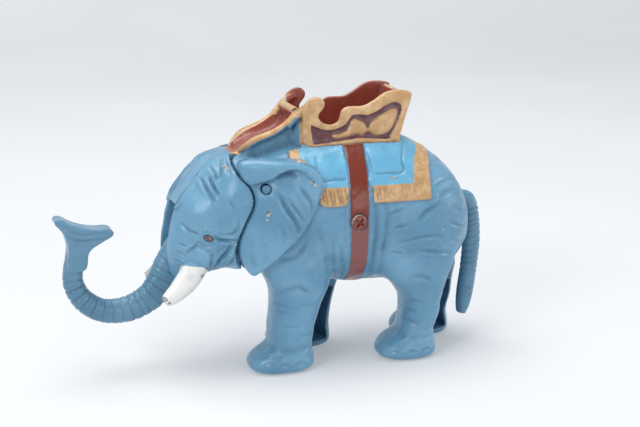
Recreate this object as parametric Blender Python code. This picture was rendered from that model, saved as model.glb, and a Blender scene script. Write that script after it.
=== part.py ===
"""Elephant coin bank: two cast halves, a lifting trunk, a pull tail and the wire that joins them.

Frame: X runs along the elephant with the head at -X, Y is across, Z is up from the floor.
Lengths in the tables are millimetres and are turned into metres as each mesh is made.
"""
import math

import bmesh
import bpy
from mathutils import Matrix, Vector

MM = 0.001

# Driving dimensions, in millimetres
SEAM_GAP = 0.3            # between the two halves
CLEAR = 0.3               # running clearance round pins and screws
WALL = 3.6                # casting thickness
SOLE = 4.0                # thickness of a foot under the leg's hollow
LEG_HOLLOW_TOP = 34.0     # the hollow inside a leg ends below this height
LEG_HOLLOW_OPEN = 6.0     # how far the hollow runs out through the leg's inner face
LEG_STEP_TOP = 58.0       # the right legs' step back fades out up to this height
LEG_STEP_FADE = 20.0
BELLY_HALF = 33.0         # half width of the body
SLOT_HALF = 6.4           # half width of the slot in the head
TRUNK_HALF = 5.5          # half thickness of the trunk
FAN_HALF = TRUNK_HALF - 0.5
TAIL_SLOT_HALF = 4.8
TAIL_HALF = 3.9
COIN_SLOT = (24.0, 50.0, 1.6)      # from x, to x, half width
COIN_SLOT_Z = (100.0, 116.0)
HEAD_SLOT = (-70.0, -23.0, 36.0, 82.5)      # low x, high x, low z, high z
WIRE_WAY = (-46.0, -8.0, 62.0, 84.0)
TAIL_SLOT = (80.0, 106.0, 63.0, 86.0)
PAST_BODY = 60.0          # half length of a cut that crosses the whole body
ROOM = 180.0              # half size of the box that keeps one side of the seam
RIGHT_FRONT_STEP = 19.0   # the right legs stand this much further back
RIGHT_REAR_STEP = 20.0

TRUNK_PIVOT = (-37.0, 72.0)        # x, z
TAIL_PIVOT = (84.0, 70.0)
SWING = 56.0              # trunk travel in degrees
RATIO = 1.6               # trunk degrees for each degree of tail
CRANK = 7.0               # trunk crank, pivot to wire
CRANK_LEAN = SWING / 2
TAIL_ARM = CRANK * RATIO
ARM_LEAN = CRANK_LEAN / RATIO
PIVOT_PIN_R = 1.6
TRUNK_PIN_HALF = 10.5     # half lengths of the pivot pins
TAIL_PIN_HALF = 9.5
PIN_END_GAP = 0.5
WIRE_R = 0.8
WIRE_Y = 3.7              # the wire runs beside the crank and the arm
WIRE_END = 1.4            # the wire's cross legs stand out past the plates
WIRE_BEND = 1.2
WIRE_HOLE_HALF = 4.0
PLATE_HALF = 1.6          # half thickness of crank and arm
LEVER_R = 3.0             # round end and half width of crank and arm
CRANK_END = 1.2           # crank's round end past the wire
WIRE_SLOT = (CRANK - 2.7, CRANK + 1.3)      # lost-motion slot along the crank
TRUNK_HUB_R = 8.2
TAIL_HUB_R = 4.6
HUB_BORE_HALF = 9.0
CRANK_RELIEF = (-52.0, -24.0, 75.2, 90.0)   # low x, high x, low z, high z beside the crank

SCREW = (31.0, 74.0)      # x, z of the body screw
SCREW_R = 2.0
SCREW_HEAD_R = 4.0
SCREW_HEAD_Y = 35.0       # outer face of the head from the seam
SCREW_HEAD_T = 1.9
SCREW_END_Y = SCREW_HEAD_Y - 0.6
CROSS_REACH = 2.1         # cross recess in the head
CROSS_HALF = 0.55
CROSS_DEPTH = 1.3
HEAD_RECESS_R = SCREW_HEAD_R + 0.9
HEAD_RECESS_DEPTH = 2.2
BOSS_R = 4.2
RIVET_BOSS_R = 3.6
TAIL_BOSS_R = 3.4
NUT_WIDTH = 7.0
NUT_T = 2.8
NUT_LOW = SCREW_HEAD_Y - 3.9
NUT_RECESS_LOW = SCREW_HEAD_Y - 4.2
NUT_RECESS_HALF = NUT_WIDTH / 2 + 0.5
SQUARE = math.sqrt(2)     # corner radius of a square over its half width
RIVET = (-13.5, 92.5)
RIVET_R = 1.5
RIVET_HEAD_R = 2.1
RIVET_HEAD_T = 0.8
RIVET_HEAD_OUT = 0.1      # the rivet's head stands this far out of the ear
RIVET_RECESS = 1.0
RIVET_SHANK_IN = 0.6
EAR_FACE = 34.5           # outer face of the ear from the seam
EAR_BACK = 23.0

# Torso: x, top z, bottom z, half width
TORSO = [
    (-33, 94, 60, 14), (-24, 101, 52, 22), (-12, 106, 46.5, 28), (4, 110, 42.5, 31.5),
    (20, 112, 39.5, BELLY_HALF), (36, 112.5, 38, BELLY_HALF + 0.5), (50, 111.5, 37.5, BELLY_HALF + 0.5),
    (63, 108.5, 37.5, BELLY_HALF), (75, 102, 38, 31), (85, 93.5, 40, 27), (92, 84, 45, 20.5),
    (96, 74, 54, 11),
]
# Head: z, front x, back x, half width
HEAD = [
    (46.5, -53.5, -42, 10.5), (50, -55, -33, 14.5), (54, -56, -20, 18), (60, -56.5, -12, 21.5),
    (70, -55, -8, 23.5), (80, -52.5, -6, 23), (90, -47.5, -6, 20.5), (98, -41, -7, 17.5),
    (103.5, -34, -9, 14), (106, -29.5, -13, 8),
]
# Legs: z, front x, back x, inner y, outer y, for the left side
FRONT_LEG = [
    (0, -17.5, 11.5, 5, 28.5), (3, -19.5, 13, 3.5, 30), (6.5, -18, 12.5, 3.5, 29.5),
    (10, -12.5, 12, 3.5, 28.5),
    (14, -9.5, 12.2, 3.5, 28), (22, -9, 13.3, 3.5, 28.5), (32, -8, 16, 3, 30), (42, -9, 20, 2.5, 31),
    (58, -16, 24, 2, 30), (76, -12, 20, 2, 26),
]
REAR_LEG = [
    (0, 48, 75, 5, 28), (3, 46.3, 77, 3.5, 29.5), (6.5, 48.2, 76.5, 3.5, 29), (10, 54, 76, 3.5, 28),
    (14, 56.5, 76.5, 3.5, 28), (22, 58.5, 79.5, 3.5, 29), (30, 57.5, 80, 3, 30.5), (40, 46, 83, 2.5, 32),
    (56, 44, 90, 2, 31), (76, 50, 90, 2, 27),
]
EAR = [
    (-25.5, 104), (-12, 105.4), (2, 104.2), (10.5, 100.5), (13.6, 92), (11, 81), (6, 71.5), (-1, 63.5),
    (-9, 56.5), (-15.5, 51.2), (-20.5, 51.5), (-24.3, 58), (-26, 66), (-23.5, 76), (-21.5, 86), (-23.5, 95),
]
CAR_WALL = [
    (9, 103), (9, 126.5), (12, 130), (17, 131.3), (20, 128), (16.8, 122.3), (18.6, 119.4),
    (23.8, 117.8), (27.8, 119.9), (29.4, 125.3), (39, 125.8), (47, 129.9), (55, 132.6),
    (62.3, 132.2), (64, 130), (58, 111.5), (53, 103),
]
CAR_FACE = 17.0           # outer face of the car's side walls from the seam
CAR_WALL_T = 3.0
REAR_PANEL = [(49.5, 103), (53, 103), (58, 111.5), (64, 129.5), (61, 131), (60, 130.5), (54.3, 112)]
PROW = [
    (-22.6, 104.6), (-18, 111), (-8, 115.4), (1.5, 120.3), (4.5, 124.5), (9, 128.6), (12.5, 129.8),
    (12.5, 126),
    (8.5, 122.5), (4, 116.8), (-6.5, 111.8), (-17, 107),
]
PROW_WEB = [(-19, 98), (-17, 108), (-6.5, 112.8), (4, 117.8), (12, 127), (12, 98)]
PROW_HALF = 13.5
WEB_HALF = 11.0
# Trunk: x, z, half width of the tube from the head to the fan
TRUNK = [
    (-37.5, 71.5, 8.0), (-44, 64, 8.5), (-52, 52.5, 8.2), (-57.5, 43, 7.4), (-63.5, 36.4, 6.7),
    (-73.8, 31.7, 6.2), (-85.5, 31.9, 5.6), (-94.8, 37.8, 5.2), (-99.2, 46.3, 4.8), (-99, 54, 4.7),
    (-97.4, 60.5, 4.6),
]
TRUNK_FAN = [
    (-102, 56), (-101.7, 64), (-103.6, 71.9), (-107.5, 77.2), (-104.6, 78.8), (-96.5, 75), (-90, 73),
    (-83, 72.4),
    (-79.9, 70.8), (-84.1, 66.9), (-91.8, 62.2), (-93.4, 56),
]
# Tusk: x, z, distance from the seam, radius
TUSK = [
    (-41, 57, 13.5, 5.2), (-46, 52, 16.5, 5.6), (-50.5, 45.5, 18.5, 5.2), (-55.5, 41.5, 20, 4.1),
    (-60.5, 39.8, 21, 2.4),
]
# Tail: x, z, half width in the side view
TAIL = [
    (86, 71, 4.2), (94, 73.4, 4.0), (99, 73.6, 3.9), (101.6, 70.5, 3.8), (103.2, 60, 4.1), (103.2, 50, 4.4),
    (102.2, 38, 4.2), (100.6, 26, 4.3), (99.4, 18, 3.6), (98.2, 12, 1.6),
]

COLOURS = {
    "left_body_half": (0.13, 0.30, 0.46), "right_body_half": (0.13, 0.30, 0.46),
    "trunk": (0.14, 0.32, 0.48), "tail": (0.12, 0.28, 0.43),
}
STEEL = (0.45, 0.45, 0.46)
IRON = (0.20, 0.19, 0.19)
WIRE_GREY = (0.25, 0.24, 0.23)


def clear_scene():
    for old in list(bpy.data.objects):
        bpy.data.objects.remove(old, do_unlink=True)


def new_collection(name):
    group = bpy.data.collections.new(name)
    bpy.context.scene.collection.children.link(group)
    return group


def make_material(name, colour, metallic, roughness):
    mat = bpy.data.materials.new(name)
    mat.use_nodes = True
    shader = mat.node_tree.nodes["Principled BSDF"]
    shader.inputs["Base Color"].default_value = (*colour, 1)
    shader.inputs["Metallic"].default_value = metallic
    shader.inputs["Roughness"].default_value = roughness
    return mat


def add_object(name, bm, group):
    """Turn a bmesh in millimetres into an object in metres."""
    bmesh.ops.scale(bm, vec=(MM, MM, MM), verts=bm.verts)
    bmesh.ops.recalc_face_normals(bm, faces=bm.faces)
    mesh = bpy.data.meshes.new(name)
    bm.to_mesh(mesh)
    bm.free()
    obj = bpy.data.objects.new(name, mesh)
    group.objects.link(obj)
    return obj


def ring(count, power):
    """Unit superellipse: rounder at 2, squarer above it."""
    points = []
    for i in range(count):
        a = 2 * math.pi * (i + 0.5) / count
        c, s = math.cos(a), math.sin(a)
        points.append((math.copysign(abs(c) ** (2 / power), c), math.copysign(abs(s) ** (2 / power), s)))
    return points


def skin(name, rings, group):
    """Join rings of points into one closed tube with flat ends."""
    bm = bmesh.new()
    rows = [[bm.verts.new(p) for p in row] for row in rings]
    count = len(rows[0])
    for low, high in zip(rows, rows[1:]):
        for i in range(count):
            j = (i + 1) % count
            bm.faces.new((low[i], low[j], high[j], high[i]))
    bm.faces.new(rows[0])
    bm.faces.new(rows[-1])
    return add_object(name, bm, group)


def torso_solid(name, inset, group):
    rings = []
    for x, top, bottom, half in TORSO:
        mid, tall = (top + bottom) / 2, (top - bottom) / 2 - inset
        wide = half - inset
        if tall > 2 and wide > 2:
            rings.append([(x, wide * c, mid + tall * s) for c, s in ring(28, 2.2)])
    if inset:
        rings = rings[1:]
    return skin(name, rings, group)


def head_solid(name, group):
    rings = []
    for z, front, back, half in HEAD:
        mid, deep = (front + back) / 2, (back - front) / 2
        rings.append([(mid + deep * c, half * s, z) for c, s in ring(28, 2.5)])
    return skin(name, rings, group)


def leg_solid(name, stations, side, step, group):
    rings = []
    for z, front, back, inner, outer in stations:
        shift = step * min(1.0, max(0.0, (LEG_STEP_TOP - z) / LEG_STEP_FADE))
        mid, deep = (front + back) / 2 + shift, (back - front) / 2
        centre, half = side * (inner + outer) / 2, (outer - inner) / 2
        rings.append([(mid + deep * c, centre + half * s, z) for c, s in ring(20, 2.6)])
    return skin(name, rings, group)


def leg_hollow(name, stations, side, step, group):
    """The inside of a leg, open on its inner face."""
    rings = []
    for z, front, back, inner, outer in stations[1:]:
        if z > LEG_HOLLOW_TOP:
            break
        mid, deep = (front + back) / 2 + step, (back - front) / 2 - WALL
        low, high = inner - LEG_HOLLOW_OPEN, outer - WALL
        centre, half, level = side * (low + high) / 2, (high - low) / 2, max(z, SOLE)
        rings.append([(mid + deep * c, centre + half * s, level) for c, s in ring(16, 3)])
    return skin(name, rings, group)


def plate_solid(name, outline, near, far, group, samples=3):
    """A flat outline in XZ through smooth points, from y = near to y = far."""
    curve = bpy.data.curves.new(name, "CURVE")
    curve.dimensions = "2D"
    curve.fill_mode = "BOTH"
    curve.extrude = abs(far - near) / 2 * MM
    curve.resolution_u = samples
    spline = curve.splines.new("BEZIER")
    spline.bezier_points.add(len(outline) - 1)
    for point, (x, z) in zip(spline.bezier_points, outline):
        point.co = (x * MM, z * MM, 0)
        point.handle_left_type = point.handle_right_type = "AUTO" if samples > 1 else "VECTOR"
    spline.use_cyclic_u = True
    turn = Matrix.Rotation(math.pi / 2, 4, "X")
    return curve_to_mesh(name, curve, Matrix.Translation((0, (near + far) / 2 * MM, 0)) @ turn, group)


def tube_solid(name, points, group, sides=3, flat=None):
    """A tube through (x, y, z, radius); flat limits its half thickness in Y."""
    curve = bpy.data.curves.new(name, "CURVE")
    curve.dimensions = "3D"
    curve.bevel_depth = MM
    curve.bevel_resolution = sides
    curve.use_fill_caps = True
    curve.resolution_u = 3
    curve.twist_mode = "MINIMUM"
    spline = curve.splines.new("BEZIER")
    spline.bezier_points.add(len(points) - 1)
    for point, (x, y, z, radius) in zip(spline.bezier_points, points):
        point.co = (x * MM, y * MM, z * MM)
        point.radius = radius
        point.handle_left_type = point.handle_right_type = "AUTO"
    obj = curve_to_mesh(name, curve, Matrix.Identity(4), group)
    if flat:
        widest = max(abs(v.co.y) for v in obj.data.vertices)
        for v in obj.data.vertices:
            v.co.y *= flat * MM / widest
    return obj


def curve_to_mesh(name, curve, place, group):
    maker = bpy.data.objects.new(name + "_curve", curve)
    group.objects.link(maker)
    maker.matrix_world = place
    bpy.context.view_layer.update()
    shaped = maker.evaluated_get(bpy.context.evaluated_depsgraph_get())
    mesh = bpy.data.meshes.new_from_object(shaped)
    bm = bmesh.new()
    bm.from_mesh(mesh)
    bmesh.ops.remove_doubles(bm, verts=bm.verts, dist=0.00001)
    bmesh.ops.transform(bm, matrix=place, verts=bm.verts)
    bmesh.ops.recalc_face_normals(bm, faces=bm.faces)
    bm.to_mesh(mesh)
    bm.free()
    bpy.data.objects.remove(maker, do_unlink=True)
    obj = bpy.data.objects.new(name, mesh)
    group.objects.link(obj)
    return obj


def box_solid(name, low, high, group):
    bm = bmesh.new()
    bmesh.ops.create_cube(bm, size=1)
    middle = [(a + b) / 2 for a, b in zip(low, high)]
    bmesh.ops.scale(bm, vec=[b - a for a, b in zip(low, high)], verts=bm.verts)
    bmesh.ops.translate(bm, vec=middle, verts=bm.verts)
    return add_object(name, bm, group)


def slot_box(name, extents, half, group):
    """A box given by its low x, high x, low z, high z and its half width across the seam."""
    low_x, high_x, low_z, high_z = extents
    return box_solid(name, (low_x, -half, low_z), (high_x, half, high_z), group)


def cross_rod(name, centre, radius, y_from, y_to, group, sides=20, turn=0.0):
    """A cylinder along Y; four sides make a square nut."""
    bm = bmesh.new()
    depth = abs(y_to - y_from)
    bmesh.ops.create_cone(bm, cap_ends=True, segments=sides, radius1=radius, radius2=radius, depth=depth)
    bmesh.ops.rotate(bm, matrix=Matrix.Rotation(turn, 3, "Z"), verts=bm.verts)
    bmesh.ops.rotate(bm, matrix=Matrix.Rotation(math.pi / 2, 3, "X"), verts=bm.verts)
    bmesh.ops.translate(bm, vec=(centre[0], (y_from + y_to) / 2, centre[1]), verts=bm.verts)
    return add_object(name, bm, group)


def combine(target, others, operation):
    """Apply exact Booleans to the target, one after the other."""
    for other in others:
        mod = target.modifiers.new(other.name, "BOOLEAN")
        mod.operation = operation
        mod.solver = "EXACT"
        mod.object = other
        other.hide_render = True
        other.display_type = "WIRE"
    bpy.context.view_layer.update()
    shaped = target.evaluated_get(bpy.context.evaluated_depsgraph_get())
    mesh = bpy.data.meshes.new_from_object(shaped)
    target.modifiers.clear()
    target.data = mesh
    return target


def finish_part(obj, parts, name, colour, metallic=0.0, roughness=0.35, pivot=None):
    """Name the solid, give it its material and, when it moves, its origin on its axis."""
    for group in list(obj.users_collection):
        group.objects.unlink(obj)
    parts.objects.link(obj)
    obj.name = name
    obj.data.name = name
    obj.data.materials.clear()
    obj.data.materials.append(make_material(name, colour, metallic, roughness))
    if pivot:
        place = Vector((pivot[0] * MM, 0, pivot[1] * MM))
        obj.data.transform(Matrix.Translation(-place))
        obj.location = place
    obj.data.shade_smooth()
    obj.data.set_sharp_from_angle(angle=math.radians(40))
    return obj


def body_halves(parts, tools):
    body = torso_solid("torso", 0, tools)
    joined = [head_solid("head", tools)]
    for side, steps in ((-1, (0, 0)), (1, (RIGHT_FRONT_STEP, RIGHT_REAR_STEP))):
        joined.append(leg_solid("front_leg", FRONT_LEG, side, steps[0], tools))
        joined.append(leg_solid("rear_leg", REAR_LEG, side, steps[1], tools))
        joined.append(plate_solid("ear", EAR, side * EAR_BACK, side * EAR_FACE, tools))
        joined.append(tube_solid("tusk", [(x, side * y, z, r) for x, z, y, r in TUSK], tools))
        wall_in, wall_out = side * (CAR_FACE - CAR_WALL_T), side * CAR_FACE
        joined.append(plate_solid("car_wall", CAR_WALL, wall_in, wall_out, tools))
    joined.append(plate_solid("rear_panel", REAR_PANEL, -CAR_FACE + 1, CAR_FACE - 1, tools, 1))
    joined.append(plate_solid("prow", PROW, -PROW_HALF, PROW_HALF, tools))
    joined.append(plate_solid("prow_web", PROW_WEB, -WEB_HALF, WEB_HALF, tools, 1))
    combine(body, joined, "UNION")

    chamber = torso_solid("chamber", WALL, tools)
    bosses = [
        cross_rod("screw_boss", SCREW, BOSS_R, -PAST_BODY, PAST_BODY, tools),
        cross_rod("rivet_boss", RIVET, RIVET_BOSS_R, -PAST_BODY, PAST_BODY, tools),
        cross_rod("tail_boss", TAIL_PIVOT, TAIL_BOSS_R, -PAST_BODY, PAST_BODY, tools),
    ]
    combine(chamber, bosses, "DIFFERENCE")
    slot_from, slot_to, slot_half = COIN_SLOT
    hollows = [
        chamber,
        slot_box("head_slot", HEAD_SLOT, SLOT_HALF, tools),
        slot_box("wire_way", WIRE_WAY, SLOT_HALF, tools),
        slot_box("coin_slot", (slot_from, slot_to, *COIN_SLOT_Z), slot_half, tools),
        slot_box("tail_slot", TAIL_SLOT, TAIL_SLOT_HALF, tools),
    ]
    for side, front_step, rear_step in ((-1, 0, 0), (1, RIGHT_FRONT_STEP, RIGHT_REAR_STEP)):
        hollows.append(leg_hollow("front_leg_hollow", FRONT_LEG, side, front_step, tools))
        hollows.append(leg_hollow("rear_leg_hollow", REAR_LEG, side, rear_step, tools))
    combine(body, hollows, "DIFFERENCE")

    trunk_bore, tail_bore = TRUNK_PIN_HALF + PIN_END_GAP, TAIL_PIN_HALF + PIN_END_GAP
    head_floor, rivet_floor = SCREW_HEAD_Y - HEAD_RECESS_DEPTH, EAR_FACE - RIVET_RECESS
    nut_r, quarter = NUT_RECESS_HALF * SQUARE, math.pi / 4
    bores = [
        cross_rod("screw_bore", SCREW, SCREW_R + CLEAR, -PAST_BODY, PAST_BODY, tools),
        cross_rod("head_recess", SCREW, HEAD_RECESS_R, -PAST_BODY, -head_floor, tools, 28),
        cross_rod("nut_recess", SCREW, nut_r, NUT_RECESS_LOW, PAST_BODY, tools, 4, quarter),
        cross_rod("rivet_bore", RIVET, RIVET_R + CLEAR, -PAST_BODY, PAST_BODY, tools),
        cross_rod("rivet_recess", RIVET, RIVET_HEAD_R + CLEAR, -PAST_BODY, -rivet_floor, tools),
        cross_rod("rivet_recess", RIVET, RIVET_HEAD_R + CLEAR, rivet_floor, PAST_BODY, tools),
        cross_rod("trunk_pin_bore", TRUNK_PIVOT, PIVOT_PIN_R + CLEAR, -trunk_bore, trunk_bore, tools),
        cross_rod("tail_pin_bore", TAIL_PIVOT, PIVOT_PIN_R + CLEAR, -tail_bore, tail_bore, tools),
    ]
    combine(body, bores, "DIFFERENCE")

    for name, side in (("left_body_half", -1), ("right_body_half", 1)):
        half = body.copy()
        half.data = body.data.copy()
        tools.objects.link(half)
        near, far = sorted((side * SEAM_GAP / 2, side * PAST_BODY))
        room = box_solid(name + "_room", (-ROOM, near, -ROOM), (ROOM, far, ROOM), tools)
        combine(half, [room], "INTERSECT")
        finish_part(half, parts, name, COLOURS[name])
    bpy.data.objects.remove(body, do_unlink=True)


def lever_end(pivot, reach, lean, down):
    """Where the wire meets a crank or arm that leans forward of the vertical: x, z."""
    sign = -1 if down else 1
    return pivot[0] - reach * math.sin(lean), pivot[1] + sign * reach * math.cos(lean)


def lever_plate(name, pivot, reach, lean, down, group):
    """Crank or arm: a flat link with a round end."""
    end = lever_end(pivot, reach, lean, down)
    plate = cross_rod(name, end, LEVER_R, -PLATE_HALF, PLATE_HALF, group)
    bar = slot_box(name + "_bar", (-LEVER_R, LEVER_R, 0, reach), PLATE_HALF, group)
    turn_about(bar, pivot, math.pi + lean if down else -lean)
    return [plate, bar]


def turn_about(obj, pivot, angle):
    """Turn a tool made at the origin and move it to a pivot."""
    obj.data.transform(Matrix.Rotation(angle, 4, "Y"))
    obj.data.transform(Matrix.Translation((pivot[0] * MM, 0, pivot[1] * MM)))


def trunk_part(parts, tools):
    lean = math.radians(CRANK_LEAN)
    trunk = tube_solid("trunk_tube", [(x, 0, z, r) for x, z, r in TRUNK], tools, 4, TRUNK_HALF)
    hub = cross_rod("hub", TRUNK_PIVOT, TRUNK_HUB_R, -TRUNK_HALF, TRUNK_HALF, tools, 28)
    fan = plate_solid("fan", TRUNK_FAN, -FAN_HALF, FAN_HALF, tools)
    lever = lever_plate("crank", TRUNK_PIVOT, CRANK + CRANK_END, lean, False, tools)
    combine(trunk, [hub, fan, *lever], "UNION")
    low_x, high_x, low_z, high_z = CRANK_RELIEF
    cuts = []
    for near, far in ((-HUB_BORE_HALF, -PLATE_HALF), (PLATE_HALF, HUB_BORE_HALF)):
        cuts.append(box_solid("crank_relief", (low_x, near, low_z), (high_x, far, high_z), tools))
    slot = slot_box("wire_slot", (-WIRE_R - CLEAR, WIRE_R + CLEAR, *WIRE_SLOT), WIRE_HOLE_HALF, tools)
    turn_about(slot, TRUNK_PIVOT, -lean)
    cuts.append(slot)
    cuts.append(cross_rod("bore", TRUNK_PIVOT, PIVOT_PIN_R + CLEAR, -HUB_BORE_HALF, HUB_BORE_HALF, tools))
    combine(trunk, cuts, "DIFFERENCE")
    finish_part(trunk, parts, "trunk", COLOURS["trunk"], pivot=TRUNK_PIVOT)


def tail_part(parts, tools):
    lean = math.radians(ARM_LEAN)
    end = lever_end(TAIL_PIVOT, TAIL_ARM, lean, True)
    tail = tube_solid("tail_tube", [(x, 0, z, r) for x, z, r in TAIL], tools, 4, TAIL_HALF)
    hub = cross_rod("tail_hub", TAIL_PIVOT, TAIL_HUB_R, -TAIL_HALF, TAIL_HALF, tools, 24)
    lever = lever_plate("arm", TAIL_PIVOT, TAIL_ARM, lean, True, tools)
    combine(tail, [hub, *lever], "UNION")
    cuts = [
        cross_rod("wire_hole", end, WIRE_R + CLEAR, -WIRE_HOLE_HALF, WIRE_HOLE_HALF, tools, 12),
        cross_rod("tail_bore", TAIL_PIVOT, PIVOT_PIN_R + CLEAR, -HUB_BORE_HALF, HUB_BORE_HALF, tools),
    ]
    combine(tail, cuts, "DIFFERENCE")
    finish_part(tail, parts, "tail", COLOURS["tail"], pivot=TAIL_PIVOT)
    return end


def link_rod(parts, tail_end):
    """Bent wire from the trunk crank to the tail arm, with a cross leg at each end."""
    trunk_end = lever_end(TRUNK_PIVOT, CRANK, math.radians(CRANK_LEAN), False)
    start, end = Vector((trunk_end[0], 0, trunk_end[1])), Vector((tail_end[0], 0, tail_end[1]))
    origin = end * MM
    curve = bpy.data.curves.new("link_rod", "CURVE")
    curve.dimensions = "3D"
    curve.bevel_depth = WIRE_R * MM
    curve.bevel_resolution = 2
    curve.use_fill_caps = True
    along = (end - start).normalized()
    side = Vector((0, 1, 0))
    inner, corner = -PLATE_HALF - WIRE_END, WIRE_Y - WIRE_BEND
    points = [
        start + side * inner, start + side * corner, start + side * WIRE_Y + along * WIRE_BEND,
        end + side * WIRE_Y - along * WIRE_BEND, end + side * corner, end + side * inner,
    ]
    spline = curve.splines.new("POLY")
    spline.points.add(len(points) - 1)
    for point, place in zip(spline.points, points):
        point.co = (*(place * MM - origin), 1)
    obj = bpy.data.objects.new("link_rod", curve)
    obj.location = origin
    parts.objects.link(obj)
    curve.materials.append(make_material("link_rod", WIRE_GREY, 1.0, 0.45))


def fasteners(parts, tools):
    pin = cross_rod("trunk_pin", TRUNK_PIVOT, PIVOT_PIN_R, -TRUNK_PIN_HALF, TRUNK_PIN_HALF, tools)
    finish_part(pin, parts, "trunk_pivot_pin", IRON, 1.0, 0.5)
    pin = cross_rod("tail_pin", TAIL_PIVOT, PIVOT_PIN_R, -TAIL_PIN_HALF, TAIL_PIN_HALF, tools)
    finish_part(pin, parts, "tail_pivot_pin", IRON, 1.0, 0.5)
    shank, top = EAR_FACE - RIVET_SHANK_IN, EAR_FACE + RIVET_HEAD_OUT
    rivet = cross_rod("rivet_shank", RIVET, RIVET_R, -shank, shank, tools)
    heads = [
        cross_rod("rivet_head", RIVET, RIVET_HEAD_R, -top + RIVET_HEAD_T, -top, tools),
        cross_rod("rivet_head", RIVET, RIVET_HEAD_R, top - RIVET_HEAD_T, top, tools),
    ]
    combine(rivet, heads, "UNION")
    finish_part(rivet, parts, "front_rivet", IRON, 1.0, 0.5)

    under_head = -SCREW_HEAD_Y + SCREW_HEAD_T
    screw = cross_rod("screw_shank", SCREW, SCREW_R, under_head - SCREW_HEAD_T / 2, SCREW_END_Y, tools)
    head = cross_rod("screw_head", SCREW, SCREW_HEAD_R, -SCREW_HEAD_Y, under_head, tools, 28)
    combine(screw, [head], "UNION")
    floor = -SCREW_HEAD_Y + CROSS_DEPTH
    cross = []
    for half_x, half_z in ((CROSS_REACH, CROSS_HALF), (CROSS_HALF, CROSS_REACH)):
        low = (SCREW[0] - half_x, -PAST_BODY, SCREW[1] - half_z)
        high = (SCREW[0] + half_x, floor, SCREW[1] + half_z)
        cross.append(box_solid("cross_recess", low, high, tools))
    combine(screw, cross, "DIFFERENCE")
    finish_part(screw, parts, "body_screw", STEEL, 1.0, 0.35)

    corner = NUT_WIDTH / 2 * SQUARE
    nut = cross_rod("nut", SCREW, corner, NUT_LOW, NUT_LOW + NUT_T, tools, 4, math.pi / 4)
    bore = cross_rod("nut_bore", SCREW, SCREW_R + CLEAR, 0, PAST_BODY, tools)
    combine(nut, [bore], "DIFFERENCE")
    finish_part(nut, parts, "body_nut", STEEL, 1.0, 0.4)


def main():
    clear_scene()
    parts = new_collection("elephant_coin_bank")
    tools = new_collection("cutters")
    body_halves(parts, tools)
    trunk_part(parts, tools)
    link_rod(parts, tail_part(parts, tools))
    fasteners(parts, tools)


main()
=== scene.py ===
"""Looks of the elephant coin bank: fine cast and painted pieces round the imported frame.

Tables are in millimetres, with X along the elephant (head at -X), Y across and Z up, for the left side.
"""
import math

import bmesh
import bpy
import numpy as np
from mathutils import Matrix, Vector


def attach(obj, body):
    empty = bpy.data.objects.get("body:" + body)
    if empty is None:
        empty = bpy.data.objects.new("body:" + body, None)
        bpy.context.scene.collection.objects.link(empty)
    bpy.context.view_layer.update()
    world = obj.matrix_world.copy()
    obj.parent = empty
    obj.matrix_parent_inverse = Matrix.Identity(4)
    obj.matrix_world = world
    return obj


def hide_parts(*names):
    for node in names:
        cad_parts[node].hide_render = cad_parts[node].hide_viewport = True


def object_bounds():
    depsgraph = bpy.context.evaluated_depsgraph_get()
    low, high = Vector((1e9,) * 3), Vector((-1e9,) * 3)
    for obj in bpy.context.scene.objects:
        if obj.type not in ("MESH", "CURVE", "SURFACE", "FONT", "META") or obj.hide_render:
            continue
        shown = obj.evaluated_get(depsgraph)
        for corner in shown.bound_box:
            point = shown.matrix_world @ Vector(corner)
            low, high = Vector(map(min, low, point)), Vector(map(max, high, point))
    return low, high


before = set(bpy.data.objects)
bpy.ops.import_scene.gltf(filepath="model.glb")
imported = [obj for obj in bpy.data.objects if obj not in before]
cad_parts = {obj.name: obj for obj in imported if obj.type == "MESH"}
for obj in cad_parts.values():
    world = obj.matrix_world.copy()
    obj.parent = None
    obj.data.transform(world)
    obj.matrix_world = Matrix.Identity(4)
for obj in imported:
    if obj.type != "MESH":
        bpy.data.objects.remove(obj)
cad_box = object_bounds()

MM = 0.001
BODY_VOXEL = 0.52
CAR_VOXEL, EAR_VOXEL = 0.45, 0.5
CORE_VOXEL = 1.1
LIMB_VOXEL = 0.42
SEAM_HALF = 0.15                       # each half stops this far from the seam
WALL = 3.6
SOLE = 4.0                             # thickness of a foot under the leg's hollow
LEG_HOLLOW_TOP, LEG_HOLLOW_OPEN = 34.0, 6.0
SLOT_HALF = 6.4                        # half width of the slot in the head
PAST_BODY = 50.0                       # half length of a rod that crosses the whole body
BELLY_HALF = 33.0
TRUNK_HALF = 5.5
TAIL_HALF = 3.9
TRUNK_PIVOT = (-37.0, 72.0)
TAIL_PIVOT = (84.0, 70.0)
PIN_BORE = 1.9
SCREW = (31.0, 74.0)
RIVET = (-13.5, 92.5)
EAR_FACE = 34.5
EAR_BACK = 22.0
RIGHT_EAR_SHIFT = (2.5, -2.5)
FRONT_STEP, REAR_STEP = 19.0, 20.0     # the right legs stand this much further back
RIGHT_LEG_STEP = 19.5                  # the same, for the creases of both
LEG_STEP_TOP, LEG_STEP_FADE = 58.0, 20.0
OUTSIDE = -4.0                         # a paint zone's value well away from it
HEAD_GAIN, FLANK_GAIN, LEG_GAIN, LUMP_GAIN, EAR_GAIN = 1.45, 1.15, 0.85, 0.16, 1.3
FLANK_SPREAD, LEG_SPREAD = 1.5, 1.7    # crease widths, against the tables
LEVER_HALF, LEVER_R = 1.6, 3.0         # half thickness and round end of crank and arm

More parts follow.
